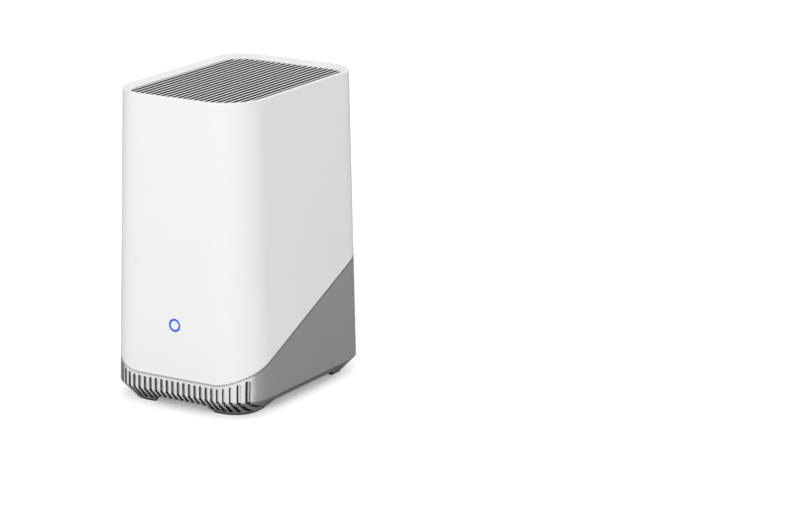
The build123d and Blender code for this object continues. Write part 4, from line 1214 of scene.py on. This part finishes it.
@dataclass
class Studio:
    """Pale floor, soft lights and the camera at the photograph's angle."""

    azimuth: float = math.radians(31.675)
    elevation: float = math.radians(14.80)
    eye: Triple = (0.9284, -1.4290, 0.5316)
    lens: float = 142.4
    sensor: float = 36.0
    shift: tuple[float, float] = (0.1084, -0.0245)
    clip: tuple[float, float] = (0.05, 60.0)
    floor_size: float = 14.0
    floor_tone: float = 0.94
    floor_roughness: float = 0.9
    floor_sheen: float = 0.1
    floor_lift: tuple[float, float] = (0.3, 0.5)
    lift_from: float = 0.25
    lift_to: float = 1.6
    ambient: float = 0.48
    card: tuple[float, float] = (3.2, 2.2)
    card_corner: Triple = (-1.6, -0.06, 0.3 * MM)
    card_tone: float = 0.1
    lamps: tuple[Lamp, ...] = (
        Lamp("key", (0.75, -1.45, 0.9), 1.0, 13.8), Lamp("left", (-1.5, -0.9, 0.8), 1.0, 5.0),
        Lamp("top", (0.0, 0.25, 1.7), 2.4, 10.0), Lamp("rear", (0.3, 1.6, 0.9), 1.2, 6.0))

    def build(self) -> None:
        """Sets up everything that isn't part of the object."""
        self.add_camera()
        self.add_floor()
        self.add_world()
        self.add_card()
        for lamp in self.lamps:
            lamp.build()
        bpy.context.scene.view_settings.view_transform = "Standard"

    def add_camera(self) -> None:
        """Places the camera and makes it the scene's own."""
        data = bpy.data.cameras.new("camera")
        camera = bpy.data.objects.new("camera", data)
        bpy.context.scene.collection.objects.link(camera)
        forward = Vector((-math.sin(self.azimuth) * math.cos(self.elevation),
                          math.cos(self.azimuth) * math.cos(self.elevation),
                          -math.sin(self.elevation)))
        camera.location = self.eye
        camera.rotation_mode = "QUATERNION"
        camera.rotation_quaternion = forward.to_track_quat("-Z", "Y")
        data.sensor_fit, data.sensor_width, data.lens = "HORIZONTAL", self.sensor, self.lens
        data.shift_x, data.shift_y = self.shift
        data.clip_start, data.clip_end = self.clip
        bpy.context.scene.camera = camera

    def add_sheet(self, name: str, size: tuple[float, float], corner: Triple, tone: float,
                  roughness: float) -> tuple[Object, Surface]:
        """Adds a flat studio surface with its own material.

        Args:
            name: Name of the surface.
            size: Its width and depth.
            corner: Its corner of least X and Y.
            tone: Its grey.
            roughness: Its roughness.

        Returns:
            The sheet and its material's nodes.
        """
        bm = bmesh.new()
        bmesh.ops.create_grid(bm, x_segments=2, y_segments=2, size=0.5)
        bmesh.ops.translate(bm, verts=list(bm.verts), vec=(0.5, 0.5, 0.0))
        bmesh.ops.scale(bm, verts=list(bm.verts), vec=(*size, 1.0))
        bmesh.ops.translate(bm, verts=list(bm.verts), vec=corner)
        sheet = link_mesh(name, bm)
        paint = bpy.data.materials.new(name)
        paint.use_nodes = True
        sheet.data.materials.append(paint)
        return sheet, Surface(paint.node_tree, (tone, tone, tone), roughness)

    def add_floor(self) -> None:
        """Adds the pale floor, which brightens to white away from the object."""
        half = self.floor_size
        _, surface = self.add_sheet("floor", (2 * half, 2 * half), (-half, -half, 0.0),
                                    self.floor_tone, self.floor_roughness)
        surface.put("Specular IOR Level", self.floor_sheen)
        # Painted light: a glow that only the camera sees, weakest near the object and stronger
        # away from it, lightens the floor and the object's shadow on it.
        surface.put("Emission Color", WHITE)
        reach = surface.length(surface.place)
        lift = surface.remap(reach, self.lift_from, self.lift_to, *self.floor_lift)
        seen = surface.add("ShaderNodeLightPath").outputs["Is Camera Ray"]
        surface.put("Emission Strength", surface.math("MULTIPLY", lift, seen))

    def add_card(self) -> None:
        """Adds a dark card on the floor round the object's front, which only gloss shows: a
        painted dark reflection.
        """
        card, _ = self.add_sheet("card", self.card, self.card_corner, self.card_tone, 1.0)
        # Painted reflection: hidden from the camera, from diffuse light and from shadows, the
        # card only darkens what glossy surfaces reflect.
        card.visible_camera = card.visible_diffuse = card.visible_shadow = False
        card.visible_transmission = False

    def add_world(self) -> None:
        """Lights the object softly from all round, and shows a white background."""
        world = bpy.data.worlds.new("studio")
        world.use_nodes = True
        world.node_tree.nodes.clear()
        tree = Tree(world.node_tree)
        path = tree.add("ShaderNodeLightPath").outputs
        seen = tree.math("MAXIMUM", path["Is Camera Ray"], path["Is Glossy Ray"])
        seen = tree.math("MAXIMUM", seen, path["Is Transmission Ray"])
        strength = tree.remap(seen, 0.0, 1.0, self.ambient, 1.0)
        glow = tree.add("ShaderNodeBackground", {"Color": WHITE, "Strength": strength})
        tree.add("ShaderNodeOutputWorld", {"Surface": glow.outputs[0]})
        bpy.context.scene.world = world


def main() -> None:
    """Builds the studio, then the object's pieces in order, and reports each piece."""
    Studio().build()
    for part in (OuterShell(), RibbedSkirt(), Underside(), StatusLight(), RearPorts(), DriveBay(),
                 Electronics(), CoolingFan(), Speaker()):
        for piece in part.build():
            log.info("%s: piece %s, %d faces", type(part).__name__, piece.name,
                     len(piece.data.polygons))


if __name__ == "__main__":
    main()
